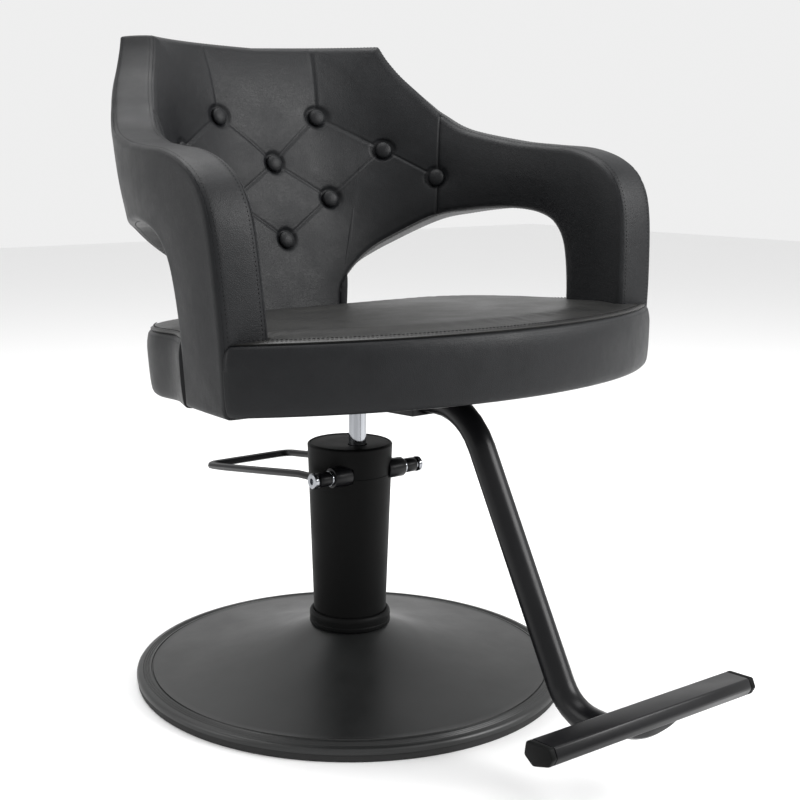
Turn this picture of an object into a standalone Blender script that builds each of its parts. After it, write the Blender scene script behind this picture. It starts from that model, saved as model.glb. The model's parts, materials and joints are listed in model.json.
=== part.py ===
"""Hydraulic styling chair: round base, foot-pumped lift, swivel seat, tufted wrap-round shell, footrest.

Units are metres. +Z is up, the sitter faces -Y, and the origin is the centre of the base on the floor.
"""
import math

import bmesh
import bpy
from mathutils import Matrix, Vector

# ---- driving dimensions ----
GAP = 0.0003            # clearance between pieces that touch
STEPS = 28              # facets round an ordinary turned piece

BASE_R = 0.300          # radius of the floor base
PLATE_R = 0.262         # ballast plate inside it
PLATE_T = 0.006
DOME_WALL = 0.003
RING_H = 0.010          # rubber ring that the rim stands on

COLLAR_R = 0.0568       # trim ring at the foot of the shroud
SHROUD_FOOT_Z = 0.078
SHROUD_TOP_Z = 0.3335
SHROUD_FOOT_R = 0.0500
SHROUD_TOP_R = 0.0589
SHROUD_WALL = 0.0025

ROD_Y = -0.0176         # the lift and swivel axis, forward of the base centre
ROD_R = 0.0120
ROD_TOP_Z = 0.4190
CYLINDER_BORE_R = 0.0133
TANK_R = 0.0385
HEAD_FOOT_Z = 0.2623
HEAD_TOP_Z = 0.2803

SHAFT_Y = -0.0385       # cross shaft that the foot pedal turns on
SHAFT_Z = 0.297
SHAFT_R = 0.0060
LUG_R = 0.0135
LUG_INNER_X = 0.0315
LUG_OUTER_X = 0.0595
BLOCK_R = 0.0100
PEDAL_HALF = 0.073      # centre of each pedal arm from the middle
PEDAL_BAR_R = 0.0055
PLUNGER_X = 0.0255
PLUNGER_Y = -0.0225
PLUNGER_TOP_Z = 0.2935
PLUNGER_R = 0.0042

SEAT_HALF = 0.341       # half the width of the seat at its front corners
SEAT_TILT = math.radians(2.8)
SEAT_PIVOT_Z = 0.4305   # height of the seat's underside above the rod
CUSHION_T = 0.084
BOARD_T = 0.012
COVER_T = 0.0015
SEAT_PLATE_T = 0.005
SEAT_PLATE_HALF = 0.090
SEAT_BOLT_HALF = 0.074

STEM_R = 0.017
STEM_DROP = 0.0205      # centre of the footrest tube below the seat's underside
STEM_BEND = 0.2270      # where the tube turns down, forward of the rod
BAR_HALF = 0.1625
BAR_CAP = 0.008
BAR_WALL = 0.0025

SHELL_Z0 = 0.54         # height at which the shell's plan is drawn
SHELL_BACK_Y = 0.137    # rear middle of the shell's inner face at that height
SHELL_HALF = 0.267
SHELL_TURN_Y = -0.183
SHELL_POWER = 2.57      # squareness of the plan curve
SHELL_FLARE = 0.122     # how much the plan widens towards the front
LEAN_BACK = 0.287       # slope of the back
LEAN_SIDE = 0.066       # slope of the arms
SHELL_T = 0.062
SHELL_HANG = 0.020      # how far the outer side hangs below the inner over the arm openings
PAD_T = 0.0275
LAYER_GAP = 0.001       # room between the shell's faceted layers
CORE_T = 0.012
SEAM_S = 0.2215         # where the back pad meets the arm pads, measured along the plan
NECK_Z = 0.447

BUTTON_R = 0.0118
BUTTON_H = 0.0060
BUTTON_PITCH = 0.076
BUTTON_STAND = 0.0034   # how far a button's back stands off the curved pad

BLACK_METAL = ((0.012, 0.012, 0.013), 0.42, 0.55)
DARK_STEEL = ((0.05, 0.05, 0.055), 0.45, 0.9)
CHROME = ((0.75, 0.75, 0.76), 0.08, 1.0)
BLACK_PLASTIC = ((0.010, 0.010, 0.011), 0.5, 0.0)
RUBBER = ((0.012, 0.012, 0.012), 0.85, 0.0)
VINYL = ((0.018, 0.019, 0.021), 0.42, 0.0)
PLYWOOD = ((0.42, 0.28, 0.15), 0.6, 0.0)
LINING = ((0.015, 0.015, 0.016), 0.9, 0.0)

# Half of each edge of the shell, as (distance along the plan, height), from the middle of the back
# round to the foot of the arm. Equal places in the two lists face each other across the shell.
LOW_EDGE = [(0.0, NECK_Z), (0.0745, NECK_Z), (0.0775, 0.520), (0.094, 0.551), (0.128, 0.584),
            (0.169, 0.609), (SEAM_S, 0.636), (0.262, 0.6435), (0.300, 0.647), (0.340, 0.6475),
            (0.375, 0.643), (0.403, 0.631), (0.421, 0.609), (0.430, 0.580), (0.436, 0.535),
            (0.437, 0.490), (0.437, 0.439)]
HIGH_EDGE = [(0.0, 0.8720), (0.151, 0.8785), (0.160, 0.858), (0.1735, 0.8355), (0.190, 0.8145),
             (0.205, 0.7965), (SEAM_S, 0.7790), (0.255, 0.7560), (0.322, 0.740), (0.374, 0.7345),
             (0.430, 0.7295), (0.477, 0.714), (0.508, 0.688), (0.525, 0.645), (0.533, 0.560),
             (0.534, 0.490), (0.532, 0.439)]
CORNER = 1              # the place of the back's top corner in those lists
SEAM = 6                # the place of the seam between back and arm
FOOT = len(LOW_EDGE) - 1

# Lays an outline drawn as (y, z) across the chair, with its thickness along X.
ACROSS = Matrix(((0, 0, 1, 0), (1, 0, 0, 0), (0, 1, 0, 0), (0, 0, 0, 1)))

parts = None            # collection of the chair's pieces
cutters = None          # collection of the tools that cut them


# ---- scene and helpers ----
def clear_scene():
    for thing in list(bpy.data.objects):
        bpy.data.objects.remove(thing, do_unlink=True)


def new_collection(name):
    made = bpy.data.collections.new(name)
    bpy.context.scene.collection.children.link(made)
    return made


def finish_material(name, finish):
    colour, roughness, metallic = finish
    made = bpy.data.materials.new(name + "_finish")
    made.use_nodes = True
    shader = made.node_tree.nodes["Principled BSDF"]
    shader.inputs["Base Color"].default_value = (*colour, 1.0)
    shader.inputs["Roughness"].default_value = roughness
    shader.inputs["Metallic"].default_value = metallic
    made.diffuse_color = (*colour, 1.0)
    return made


def add_object(name, data, finish=None, home=None):
    """Link a mesh or curve as an object of the chair, with a material of its own."""
    thing = bpy.data.objects.new(name, data)
    (home or parts).objects.link(thing)
    if finish:
        data.materials.append(finish_material(name, finish))
    return thing


def mesh_from(bm, name):
    bmesh.ops.recalc_face_normals(bm, faces=bm.faces)
    mesh = bpy.data.meshes.new(name)
    bm.to_mesh(mesh)
    bm.free()
    return mesh


def smooth(thing, angle=35):
    thing.data.shade_smooth()
    thing.data.set_sharp_from_angle(angle=math.radians(angle))


def along_x(x=0.0, y=0.0, z=0.0):
    """Matrix that lays a piece modelled along Z onto the X axis."""
    return Matrix.Translation((x, y, z)) @ Matrix.Rotation(math.radians(90), 4, "Y")


def rod_mesh(name, radius, length, sides=STEPS):
    """A closed cylinder along Z, from 0 to its length."""
    bm = bmesh.new()
    bmesh.ops.create_cone(bm, cap_ends=True, segments=sides, radius1=radius, radius2=radius, depth=length)
    bmesh.ops.translate(bm, verts=bm.verts, vec=(0, 0, length / 2))
    return mesh_from(bm, name)


def box_mesh(name, low, high):
    bm = bmesh.new()
    bmesh.ops.create_cube(bm, size=1.0)
    size = [b - a for a, b in zip(low, high)]
    middle = [(a + b) / 2 for a, b in zip(low, high)]
    bmesh.ops.scale(bm, verts=bm.verts, vec=size)
    bmesh.ops.translate(bm, verts=bm.verts, vec=middle)
    return mesh_from(bm, name)


def turned_mesh(name, profile, steps=STEPS):
    """Turn a closed profile of (radius, height) points about Z with a Screw modifier."""
    bm = bmesh.new()
    verts = [bm.verts.new((r, 0.0, z)) for r, z in profile]
    for a, b in zip(verts, verts[1:] + verts[:1]):
        if a.co.x > 0 or b.co.x > 0:
            bm.edges.new((a, b))
    mesh = bpy.data.meshes.new(name)
    bm.to_mesh(mesh)
    bm.free()
    guide = bpy.data.objects.new(name + "_profile", mesh)
    cutters.objects.link(guide)
    turn = guide.modifiers.new("turn", "SCREW")
    turn.axis = "Z"
    turn.steps = steps
    turn.render_steps = steps
    turn.use_merge_vertices = True
    turn.merge_threshold = 0.00001
    return baked(guide, name)


def baked(guide, name):
    """The evaluated mesh of a guide object, welded, with its faces outwards. The guide is removed."""
    depsgraph = bpy.context.evaluated_depsgraph_get()
    mesh = bpy.data.meshes.new_from_object(guide.evaluated_get(depsgraph))
    bm = bmesh.new()
    bm.from_mesh(mesh)
    bmesh.ops.remove_doubles(bm, verts=bm.verts, dist=0.00002)
    bmesh.ops.transform(bm, matrix=guide.matrix_world, verts=bm.verts)
    data = guide.data
    bpy.data.objects.remove(guide, do_unlink=True)
    if isinstance(data, bpy.types.Curve):
        bpy.data.curves.remove(data)
    return mesh_from(bm, name)


def ring(r_in, r_out, z0, z1):
    """Profile of a plain ring."""
    return [(r_out, z1), (r_out, z0), (r_in, z0), (r_in, z1)]


def placed(mesh, matrix):
    mesh.transform(matrix)
    return mesh


def outline_mesh(name, outlines, thickness):
    """Flat plate from closed outlines in XY, the first one outside and the rest holes, centred on Z=0."""
    curve = bpy.data.curves.new(name, "CURVE")
    curve.dimensions = "2D"
    curve.fill_mode = "BOTH"
    curve.extrude = thickness / 2
    for points in outlines:
        spline = curve.splines.new("POLY")
        spline.points.add(len(points) - 1)
        for point, (x, y) in zip(spline.points, points):
            point.co = (x, y, 0.0, 1.0)
        spline.use_cyclic_u = True
    guide = bpy.data.objects.new(name + "_outline", curve)
    cutters.objects.link(guide)
    return baked(guide, name)


def tube_mesh(name, path, radius, resolution=3):
    """Closed round bar along a list of points."""
    curve = bpy.data.curves.new(name, "CURVE")
    curve.dimensions = "3D"
    curve.bevel_depth = radius
    curve.bevel_resolution = resolution
    curve.use_fill_caps = True
    spline = curve.splines.new("POLY")
    spline.points.add(len(path) - 1)
    for point, place in zip(spline.points, path):
        point.co = (*place, 1.0)
    guide = bpy.data.objects.new(name + "_path", curve)
    cutters.objects.link(guide)
    return baked(guide, name)


def filleted(points, radii, steps=6, closed=False):
    """Polyline with each corner replaced by an arc of the given radius."""
    count = len(points)
    made = []
    for i, (point, radius) in enumerate(zip(points, radii)):
        here = Vector(point)
        if radius == 0 or (not closed and i in (0, count - 1)):
            made.append(here)
            continue
        back = (Vector(points[i - 1]) - here).normalized()
        ahead = (Vector(points[(i + 1) % count]) - here).normalized()
        half = back.angle(ahead) / 2
        reach = radius / math.tan(half)
        centre = here + (back + ahead).normalized() * (radius / math.sin(half))
        start = here + back * reach - centre
        end = here + ahead * reach - centre
        turn = start.angle(end)
        for k in range(steps + 1):
            f = k / steps
            blend = (start * math.sin((1 - f) * turn) + end * math.sin(f * turn)) / math.sin(turn)
            made.append(centre + blend)
    return made


def cut(thing, cutter_meshes):
    """Cut a piece with closed meshes, which stay in the cutters' collection."""
    for k, mesh in enumerate(cutter_meshes):
        tool = add_object(f"{thing.name}_cut_{k}", mesh, home=cutters)
        tool.hide_render = True
        tool.display_type = "WIRE"
        change = thing.modifiers.new(f"cut_{k}", "BOOLEAN")
        change.operation = "DIFFERENCE"
        change.solver = "EXACT"
        change.object = tool


def add_hex_bolt(name, shank_r, shank, head_r, head, matrix, finish):
    """Bolt along +Z of a matrix: a hexagon head below its origin and a round shank above."""
    bolt = rod_mesh(name, head_r, head, 6)
    placed(bolt, matrix @ Matrix.Translation((0, 0, -head)))
    thing = add_object(name, bolt, finish)
    tool = add_object(f"{name}_shank", rod_mesh("shank", shank_r * 0.98, shank + head / 2, 12), home=cutters)
    placed(tool.data, matrix @ Matrix.Translation((0, 0, -head / 2)))
    tool.hide_render = True
    tool.display_type = "WIRE"
    join = thing.modifiers.new("shank", "BOOLEAN")
    join.operation = "UNION"
    join.solver = "EXACT"
    join.object = tool
    return thing


# ---- the shell's shape ----
def plan_table():
    """Points of the shell's inner face at SHELL_Z0, with their distance from the middle of the back."""
    depth = SHELL_BACK_Y - SHELL_TURN_Y
    flat = [(0.0, SHELL_BACK_Y)]
    for k in range(1, 91):
        angle = math.radians(k)
        x = SHELL_HALF * math.sin(angle) ** (2 / SHELL_POWER)
        y = SHELL_TURN_Y + depth * max(math.cos(angle), 0.0) ** (2 / SHELL_POWER)
        flat.append((x, y))
    flat.append((SHELL_HALF, SHELL_TURN_Y - 0.12))
    table = []
    run = 0.0
    for k, (x, y) in enumerate(flat):
        here = Vector((x * (1 + SHELL_FLARE * (SHELL_BACK_Y - y)), y))
        if k:
            run += (here - table[-1][1]).length
        table.append((run, here))
    return table


PLAN = plan_table()


def plan_at(s):
    """Point of the plan at a distance from the middle, on the +X side."""
    for (s0, p0), (s1, p1) in zip(PLAN, PLAN[1:]):
        if s <= s1:
            return p0.lerp(p1, (s - s0) / (s1 - s0))
    return PLAN[-1][1]


def shell_point(s, z, depth):
    """Point of the shell: along its plan, at a height, and a depth behind its inner face."""
    side = -1 if s < 0 else 1
    run = abs(s)
    here = plan_at(run)
    along = plan_at(run + 0.012) - plan_at(max(run - 0.012, 0.0))
    if run < 0.012:
        along = Vector((1.0, along.y * run / 0.012))
    along.normalize()
    out = Vector((-along.y, along.x))
    lean = LEAN_SIDE + (LEAN_BACK - LEAN_SIDE) * max(out.y, 0.0) ** 1.5
    here = here + out * (lean * (z - SHELL_Z0) + depth)
    return Vector((side * here.x, here.y, z))


def edge_at(points, place):
    """Smooth curve through an edge's points, sharp at the corner; place counts along the list."""
    k = min(int(place), len(points) - 2)
    f = place - k
    a = points[k - 1] if k > 0 and k != CORNER else points[k]
    b = points[k]
    c = points[k + 1]
    d = points[k + 2] if k + 2 < len(points) and k + 1 != CORNER else points[k + 1]
    value = []
    for p, q, r, t in zip(a, b, c, d):
        m0 = (r - p) / 2
        m1 = (t - q) / 2
        h = q * (2 * f ** 3 - 3 * f ** 2 + 1) + m0 * (f ** 3 - 2 * f ** 2 + f)
        value.append(h + r * (3 * f ** 2 - 2 * f ** 3) + m1 * (f ** 3 - f ** 2))
    return value


def band_point(place, across):
    """Distance and height on the shell: place along its edges (negative on the -X side), 0 to 1 across."""
    low = edge_at(LOW_EDGE, abs(place))
    high = edge_at(HIGH_EDGE, abs(place))
    s = low[0] + (high[0] - low[0]) * across
    z = low[1] + (high[1] - low[1]) * across
    return (-s if place < 0 else s), z


def hang(s, across):
    """Fall of the shell's outer side per metre of depth: it hangs lower over the arm openings."""
    rise = min(max((abs(s) - 0.080) / 0.018, 0.0), 1.0)
    fade = min(max((0.330 - abs(s)) / 0.190, 0.0), 1.0)
    return SHELL_HANG / SHELL_T * rise * fade * (1 - across)


def shell_layer(name, places, inner, outer, finish, rows=3):
    """One layer of the shell between two depths, over a list of places along it."""
    bm = bmesh.new()
    bmesh.ops.create_grid(bm, x_segments=len(places) - 1, y_segments=rows, size=0.5)
    along = bm.verts.layers.float.new("along")
    height = bm.verts.layers.float.new("height")
    fall = bm.verts.layers.float.new("fall")
    for vert in bm.verts:
        column = round((vert.co.x + 0.5) * (len(places) - 1))
        across = vert.co.y + 0.5
        s, z = band_point(places[column], across)
        vert[along] = s
        vert[height] = z
        vert[fall] = hang(s, across)
        vert.co = shell_point(s, z - vert[fall] * inner, inner)
    grown = bmesh.ops.extrude_face_region(bm, geom=bm.faces[:])
    for vert in grown["geom"]:
        if isinstance(vert, bmesh.types.BMVert):
            vert.co = shell_point(vert[along], vert[height] - vert[fall] * outer, outer)
    thing = add_object(name, mesh_from(bm, name), finish)
    smooth(thing, 50)
    return thing


def spread(start, end, per_place):
    """Even places from start to end, with a set number to each step of the edges' lists."""
    count = max(1, round(abs(end - start) * per_place))
    return [start + (end - start) * k / count for k in range(count + 1)]


def shell_block_mesh(name, s_range, z_range, inner, outer, steps=6):
    """Closed block of the shell's own curvature, for cutting room for it."""
    bm = bmesh.new()
    bmesh.ops.create_grid(bm, x_segments=steps, y_segments=1, size=0.5)
    along = bm.verts.layers.float.new("along")
    height = bm.verts.layers.float.new("height")
    for vert in bm.verts:
        vert[along] = s_range[0] + (s_range[1] - s_range[0]) * (vert.co.x + 0.5)
        vert[height] = z_range[0] + (z_range[1] - z_range[0]) * (vert.co.y + 0.5)
        vert.co = shell_point(vert[along], vert[height], inner)
    grown = bmesh.ops.extrude_face_region(bm, geom=bm.faces[:])
    for vert in grown["geom"]:
        if isinstance(vert, bmesh.types.BMVert):
            vert.co = shell_point(vert[along], vert[height], outer)
    return mesh_from(bm, name)


# ---- the floor base and pump ----
def dome_height(radius):
    """Height of the dome's upper face: a low cone that steepens towards the collar."""
    span = (BASE_R - radius) / (BASE_R - COLLAR_R)
    return 0.0175 + 0.030 * span + 0.0245 * span ** 3.2


def build_base():
    plate = turned_mesh("base_plate", [(0.0, PLATE_T), (PLATE_R, PLATE_T), (PLATE_R, 0.0), (0.0, 0.0)], 48)
    add_object("base_plate", plate, DARK_STEEL)

    ring_mesh = turned_mesh("floor_ring", ring(0.283, 0.2985, 0.0, RING_H), 56)
    add_object("floor_ring", ring_mesh, RUBBER)

    outer = [(BASE_R, RING_H + GAP), (BASE_R, 0.0150), (0.2975, 0.0172)]
    outer += [(r, dome_height(r)) for r in (0.235, 0.175, 0.130, 0.095, 0.072, 0.0530)]
    inner = [(r, dome_height(r) - DOME_WALL) for r in (0.0530, 0.072, 0.110, 0.175, 0.260)]
    inner += [(BASE_R - DOME_WALL, 0.0130), (BASE_R - DOME_WALL, RING_H + GAP)]
    dome = turned_mesh("base_dome", (outer + inner)[::-1], 56)
    smooth(add_object("base_dome", dome, BLACK_METAL), 30)


def shroud_radius(z):
    f = (z - SHROUD_FOOT_Z) / (SHROUD_TOP_Z - SHROUD_FOOT_Z)
    return SHROUD_FOOT_R + (SHROUD_TOP_R - SHROUD_FOOT_R) * f


def build_shroud():
    top = SHROUD_TOP_Z
    foot = SHROUD_FOOT_Z
    wall = SHROUD_WALL
    profile = [(shroud_radius(foot) - wall, foot), (shroud_radius(foot), foot)]
    profile += [(shroud_radius(top - 0.004), top - 0.004), (SHROUD_TOP_R - 0.0012, top - 0.001)]
    profile += [(SHROUD_TOP_R - wall, top), (SHROUD_TOP_R - wall - 0.0002, top - 0.004)]
    shroud = add_object("shroud", turned_mesh("shroud", profile, 40), BLACK_PLASTIC)
    windows = []
    for side in (-1, 1):
        window = rod_mesh("window", LUG_R + 0.0004, 0.035)
        turned = Matrix.Rotation(math.radians(90 * side), 4, "Y")
        start = Matrix.Translation((side * (LUG_INNER_X - GAP), SHAFT_Y, SHAFT_Z))
        windows.append(placed(window, start @ turned))
    cut(shroud, windows)
    smooth(shroud)

    low = foot - 0.0037
    inside = SHROUD_FOOT_R + 0.0009
    profile = [(inside, low), (COLLAR_R - 0.001, low), (COLLAR_R, low + 0.005), (COLLAR_R, low + 0.013)]
    top_edge = low + 0.0205
    profile += [(COLLAR_R - 0.0015, low + 0.018), (COLLAR_R - 0.004, top_edge), (inside + 0.0002, top_edge)]
    smooth(add_object("shroud_collar", turned_mesh("shroud_collar", profile, 40), BLACK_PLASTIC))

    cap = add_object("top_cap", rod_mesh("top_cap", SHROUD_TOP_R - wall - 0.0008, 0.0045, 40), BLACK_PLASTIC)
    cap.data.transform(Matrix.Translation((0, 0, top - 0.0055)))
    hole = placed(rod_mesh("hole", ROD_R + 0.0012, 0.02), Matrix.Translation((0, ROD_Y, top - 0.015)))
    cut(cap, [hole])
    smooth(cap)


def build_pump():
    flange_top = PLATE_T + GAP + 0.008
    add_object("pump_flange", rod_mesh("pump_flange", 0.085, 0.008), DARK_STEEL)
    parts.objects["pump_flange"].data.transform(Matrix.Translation((0, 0, PLATE_T + GAP)))

    foot = flange_top + GAP
    wall = 0.0025
    cup = [(0.0, foot), (TANK_R, foot), (TANK_R, HEAD_FOOT_Z - GAP)]
    cup += [(TANK_R - wall, HEAD_FOOT_Z - GAP), (TANK_R - wall, foot + wall), (0.0, foot + wall)]
    smooth(add_object("pump_tank", turned_mesh("pump_tank", cup), DARK_STEEL))

    shift = Matrix.Translation((0, ROD_Y, 0))
    bore = turned_mesh("pump_cylinder", ring(CYLINDER_BORE_R, CYLINDER_BORE_R + 0.0024, foot + wall + GAP,
                                             HEAD_FOOT_Z - GAP)[::-1])
    smooth(add_object("pump_cylinder", placed(bore, shift), DARK_STEEL))

    head = add_object("pump_head", rod_mesh("pump_head", 0.0455, HEAD_TOP_Z - HEAD_FOOT_Z), DARK_STEEL)
    head.data.transform(Matrix.Translation((0, 0, HEAD_FOOT_Z)))
    rod_hole = placed(rod_mesh("rod_hole", ROD_R + 0.0004, 0.05), Matrix.Translation((0, ROD_Y, 0.25)))
    plunger_hole = rod_mesh("plunger_hole", PLUNGER_R + GAP, 0.05, 24)
    placed(plunger_hole, Matrix.Translation((PLUNGER_X, PLUNGER_Y, HEAD_FOOT_Z + 0.0010)))
    cut(head, [rod_hole, plunger_hole])
    smooth(head)

    gland_top = 0.2868
    gland = turned_mesh("rod_gland", ring(ROD_R + 0.0004, 0.0175, HEAD_TOP_Z + GAP, gland_top)[::-1])
    smooth(add_object("rod_gland", placed(gland, shift), DARK_STEEL))
    seal = turned_mesh("rod_seal", ring(ROD_R + 0.0002, 0.0165, gland_top + GAP, gland_top + 0.0033)[::-1])
    smooth(add_object("rod_seal", placed(seal, shift), RUBBER))

    for name, side in (("lug_left", 1), ("lug_right", -1)):
        lug = turned_mesh(name, ring(SHAFT_R + GAP, LUG_R, LUG_INNER_X, LUG_OUTER_X)[::-1])
        turn = Matrix.Rotation(math.radians(90 * side), 4, "Y")
        thing = add_object(name, placed(lug, Matrix.Translation((0, SHAFT_Y, SHAFT_Z)) @ turn), BLACK_METAL)
        smooth(thing)


# ---- the foot pedal and its plunger ----
def build_pedal():
    hinge = Matrix.Translation((0, SHAFT_Y, SHAFT_Z))
    end = 0.0815
    bore = 0.0033
    shaft = [(0.0, -end + 0.014), (bore, -end + 0.014), (bore, -end), (SHAFT_R, -end), (SHAFT_R, end)]
    shaft += [(bore, end), (bore, end - 0.014), (0.0, end - 0.014)]
    shaft_mesh = placed(turned_mesh("cross_shaft", shaft, 24), along_x(0, SHAFT_Y, SHAFT_Z))
    smooth(add_object("cross_shaft", shaft_mesh, DARK_STEEL))

    for label, side in (("left", 1), ("right", -1)):
        turn = hinge @ Matrix.Rotation(math.radians(90 * side), 4, "Y")
        spacer = turned_mesh("pedal_spacer", ring(SHAFT_R + GAP, 0.0105, LUG_OUTER_X + GAP, 0.0636)[::-1], 24)
        smooth(add_object(f"pedal_spacer_{label}", placed(spacer, turn), CHROME))
        block = turned_mesh("pedal_block", ring(SHAFT_R + GAP, BLOCK_R, 0.0639, 0.0817)[::-1], 24)
        smooth(add_object(f"pedal_block_{label}", placed(block, turn), BLACK_METAL))
        bolt = [(0.0, end - 0.012), (bore - GAP, end - 0.012), (bore - GAP, 0.0820), (0.0075, 0.0820)]
        bolt += [(0.0075, 0.0846), (0.0105, 0.0852), (0.0105, 0.0900), (0.0095, 0.0910), (0.0042, 0.0910)]
        bolt += [(0.0042, 0.0870), (0.0, 0.0870)]
        smooth(add_object(f"pedal_bolt_{label}", placed(turned_mesh("pedal_bolt", bolt, 20), turn), CHROME))

    side = [(SHAFT_Y + BLOCK_R + GAP + 0.0004, SHAFT_Z - 0.0003), (0.018, 0.294), (0.144, 0.2755),
            (0.214, 0.2655), (0.266, 0.259)]
    route = [(-PEDAL_HALF, y, z) for y, z in side] + [(PEDAL_HALF, y, z) for y, z in side[::-1]]
    radii = [0, 0.12, 0, 0, 0.016, 0.016, 0, 0, 0.12, 0]
    bar = tube_mesh("pedal_bar", filleted(route, radii, 4), PEDAL_BAR_R, 2)
    smooth(add_object("pedal_bar", bar, BLACK_METAL), 50)

    outline = [(SHAFT_R + 0.0014) * Vector((math.cos(a), math.sin(a)))
               for a in (math.radians(20 + 320 * k / 20) for k in range(21))]
    nose = [(0.0160, -0.0030), (0.0185, -0.0015), (0.0185, 0.0015), (0.0160, 0.0030)]
    outline += [Vector(point) for point in nose]
    hole = [(SHAFT_R + GAP) * Vector((math.cos(a), math.sin(a)))
            for a in (math.tau * k / 24 for k in range(24))]
    cam = outline_mesh("pedal_cam", [outline, hole], 0.007)
    lay = Matrix(((0, 0, 1, PLUNGER_X), (1, 0, 0, SHAFT_Y), (0, 1, 0, SHAFT_Z), (0, 0, 0, 1)))
    smooth(add_object("pedal_cam", placed(cam, lay), DARK_STEEL))


def build_plunger():
    shift = Matrix.Translation((PLUNGER_X, PLUNGER_Y, 0))
    top = PLUNGER_TOP_Z
    flange = PLUNGER_R + 0.0020
    foot = HEAD_FOOT_Z + 0.0085
    profile = [(0.0, foot), (PLUNGER_R, foot), (PLUNGER_R, top - 0.002), (flange, top - 0.002), (flange, top)]
    profile += [(0.0, top)]
    smooth(add_object("pump_plunger", placed(turned_mesh("pump_plunger", profile, 24), shift), CHROME))

    wire = 0.0006
    coil_r = PLUNGER_R + wire + 0.0005
    low = HEAD_TOP_Z + GAP + wire
    high = top - 0.002 - GAP - wire
    turns = 3
    per_turn = 12
    coil = []
    for k in range(turns * per_turn + 1):
        angle = math.tau * k / per_turn
        rise = low + (high - low) * k / (turns * per_turn)
        coil.append((coil_r * math.cos(angle), coil_r * math.sin(angle), rise))
    spring = placed(tube_mesh("plunger_spring", coil, wire, 1), shift)
    smooth(add_object("plunger_spring", spring, CHROME), 60)


# ---- the lifting rod ----
def build_rod():
    shift = Matrix.Translation((0, ROD_Y, 0))
    foot = 0.045
    rod = rod_mesh("piston_rod", ROD_R, ROD_TOP_Z - foot)
    smooth(add_object("piston_rod", placed(rod, Matrix.Translation((0, ROD_Y, foot))), CHROME))
    groove = 0.0116
    face = CYLINDER_BORE_R - GAP
    piston = [(0.0, 0.028), (face, 0.028), (face, 0.034), (groove, 0.034), (groove, 0.038), (face, 0.038)]
    piston += [(face, foot - GAP), (0.0, foot - GAP)]
    smooth(add_object("piston", placed(turned_mesh("piston", piston), shift), DARK_STEEL))
    seal = turned_mesh("piston_seal", ring(groove + 0.0002, face + 0.0001, 0.0343, 0.0377)[::-1])
    smooth(add_object("piston_seal", placed(seal, shift), RUBBER))


# ---- the seat's metalwork ----
def seat_matrix(height):
    """Frame of the tilted seat: its origin over the rod, a height above the seat's underside."""
    pivot = Matrix.Translation((0, ROD_Y, SEAT_PIVOT_Z))
    return pivot @ Matrix.Rotation(-SEAT_TILT, 4, "X") @ Matrix.Translation((0, 0, height))


def build_hub():
    shift = Matrix.Translation((0, ROD_Y, 0))
    bore = ROD_R + GAP
    foot = 0.387
    top = 0.4209
    profile = [(0.0, ROD_TOP_Z + GAP), (bore, ROD_TOP_Z + GAP), (bore, foot), (0.0200, foot)]
    profile += [(0.0215, foot + 0.002), (0.0230, 0.411), (0.0450, 0.4142), (0.0450, top), (0.0, top)]
    smooth(add_object("swivel_hub", placed(turned_mesh("swivel_hub", profile), shift), BLACK_METAL), 30)


def build_seat_plate():
    half = SEAT_PLATE_HALF
    corners = [(-half, -half, 0), (half, -half, 0), (half, half, 0), (-half, half, 0)]
    outline = [(p.x, p.y) for p in filleted(corners, [0.018] * 4, 4, closed=True)]
    plate = outline_mesh("seat_plate", [outline], SEAT_PLATE_T)
    middle = -COVER_T - GAP * 2 - SEAT_PLATE_T / 2
    thing = add_object("seat_plate", placed(plate, seat_matrix(middle)), DARK_STEEL)
    places = [(x, y) for x in (-SEAT_BOLT_HALF, SEAT_BOLT_HALF) for y in (-SEAT_BOLT_HALF, SEAT_BOLT_HALF)]
    holes = []
    for x, y in places:
        hole = rod_mesh("hole", 0.0043, 0.02, 12)
        holes.append(placed(hole, seat_matrix(middle - 0.01) @ Matrix.Translation((x, y, 0))))
    cut(thing, holes)
    under = middle - SEAT_PLATE_T / 2 - GAP
    for k, (x, y) in enumerate(places):
        place = seat_matrix(under) @ Matrix.Translation((x, y, 0))
        add_hex_bolt(f"seat_bolt_{k + 1}", 0.0040, 0.016, 0.0075, 0.0055, place, CHROME)
    return places


def seat_outline(inset=0.0, steps=10):
    """Plan of the seat: an arched front, straight sides and a round rear, in the tilted seat's frame."""
    front_r = 0.517
    front_y = -0.362
    rear_y = 0.105
    rear_r = 0.150
    half = SEAT_HALF - inset
    rear_half = 0.312 - inset
    arc = front_r - inset
    reach = math.asin((half - 0.004) / arc)
    right = []
    for k in range(steps + 1):
        angle = reach * k / steps
        right.append((arc * math.sin(angle), front_y + front_r - arc * math.cos(angle)))
    right += [(half, right[-1][1] + 0.010), (half - 0.006, -0.130), (rear_half, -0.070)]
    corner = rear_r - inset
    for k in range(1, steps + 1):
        angle = math.radians(90 * k / steps)
        x = rear_half - corner + corner * math.cos(angle)
        right.append((x, rear_y - rear_r + corner * math.sin(angle)))
    left = [(-x, y) for x, y in right[:0:-1]]
    return [(x, y - ROD_Y) for x, y in right + left]


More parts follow.
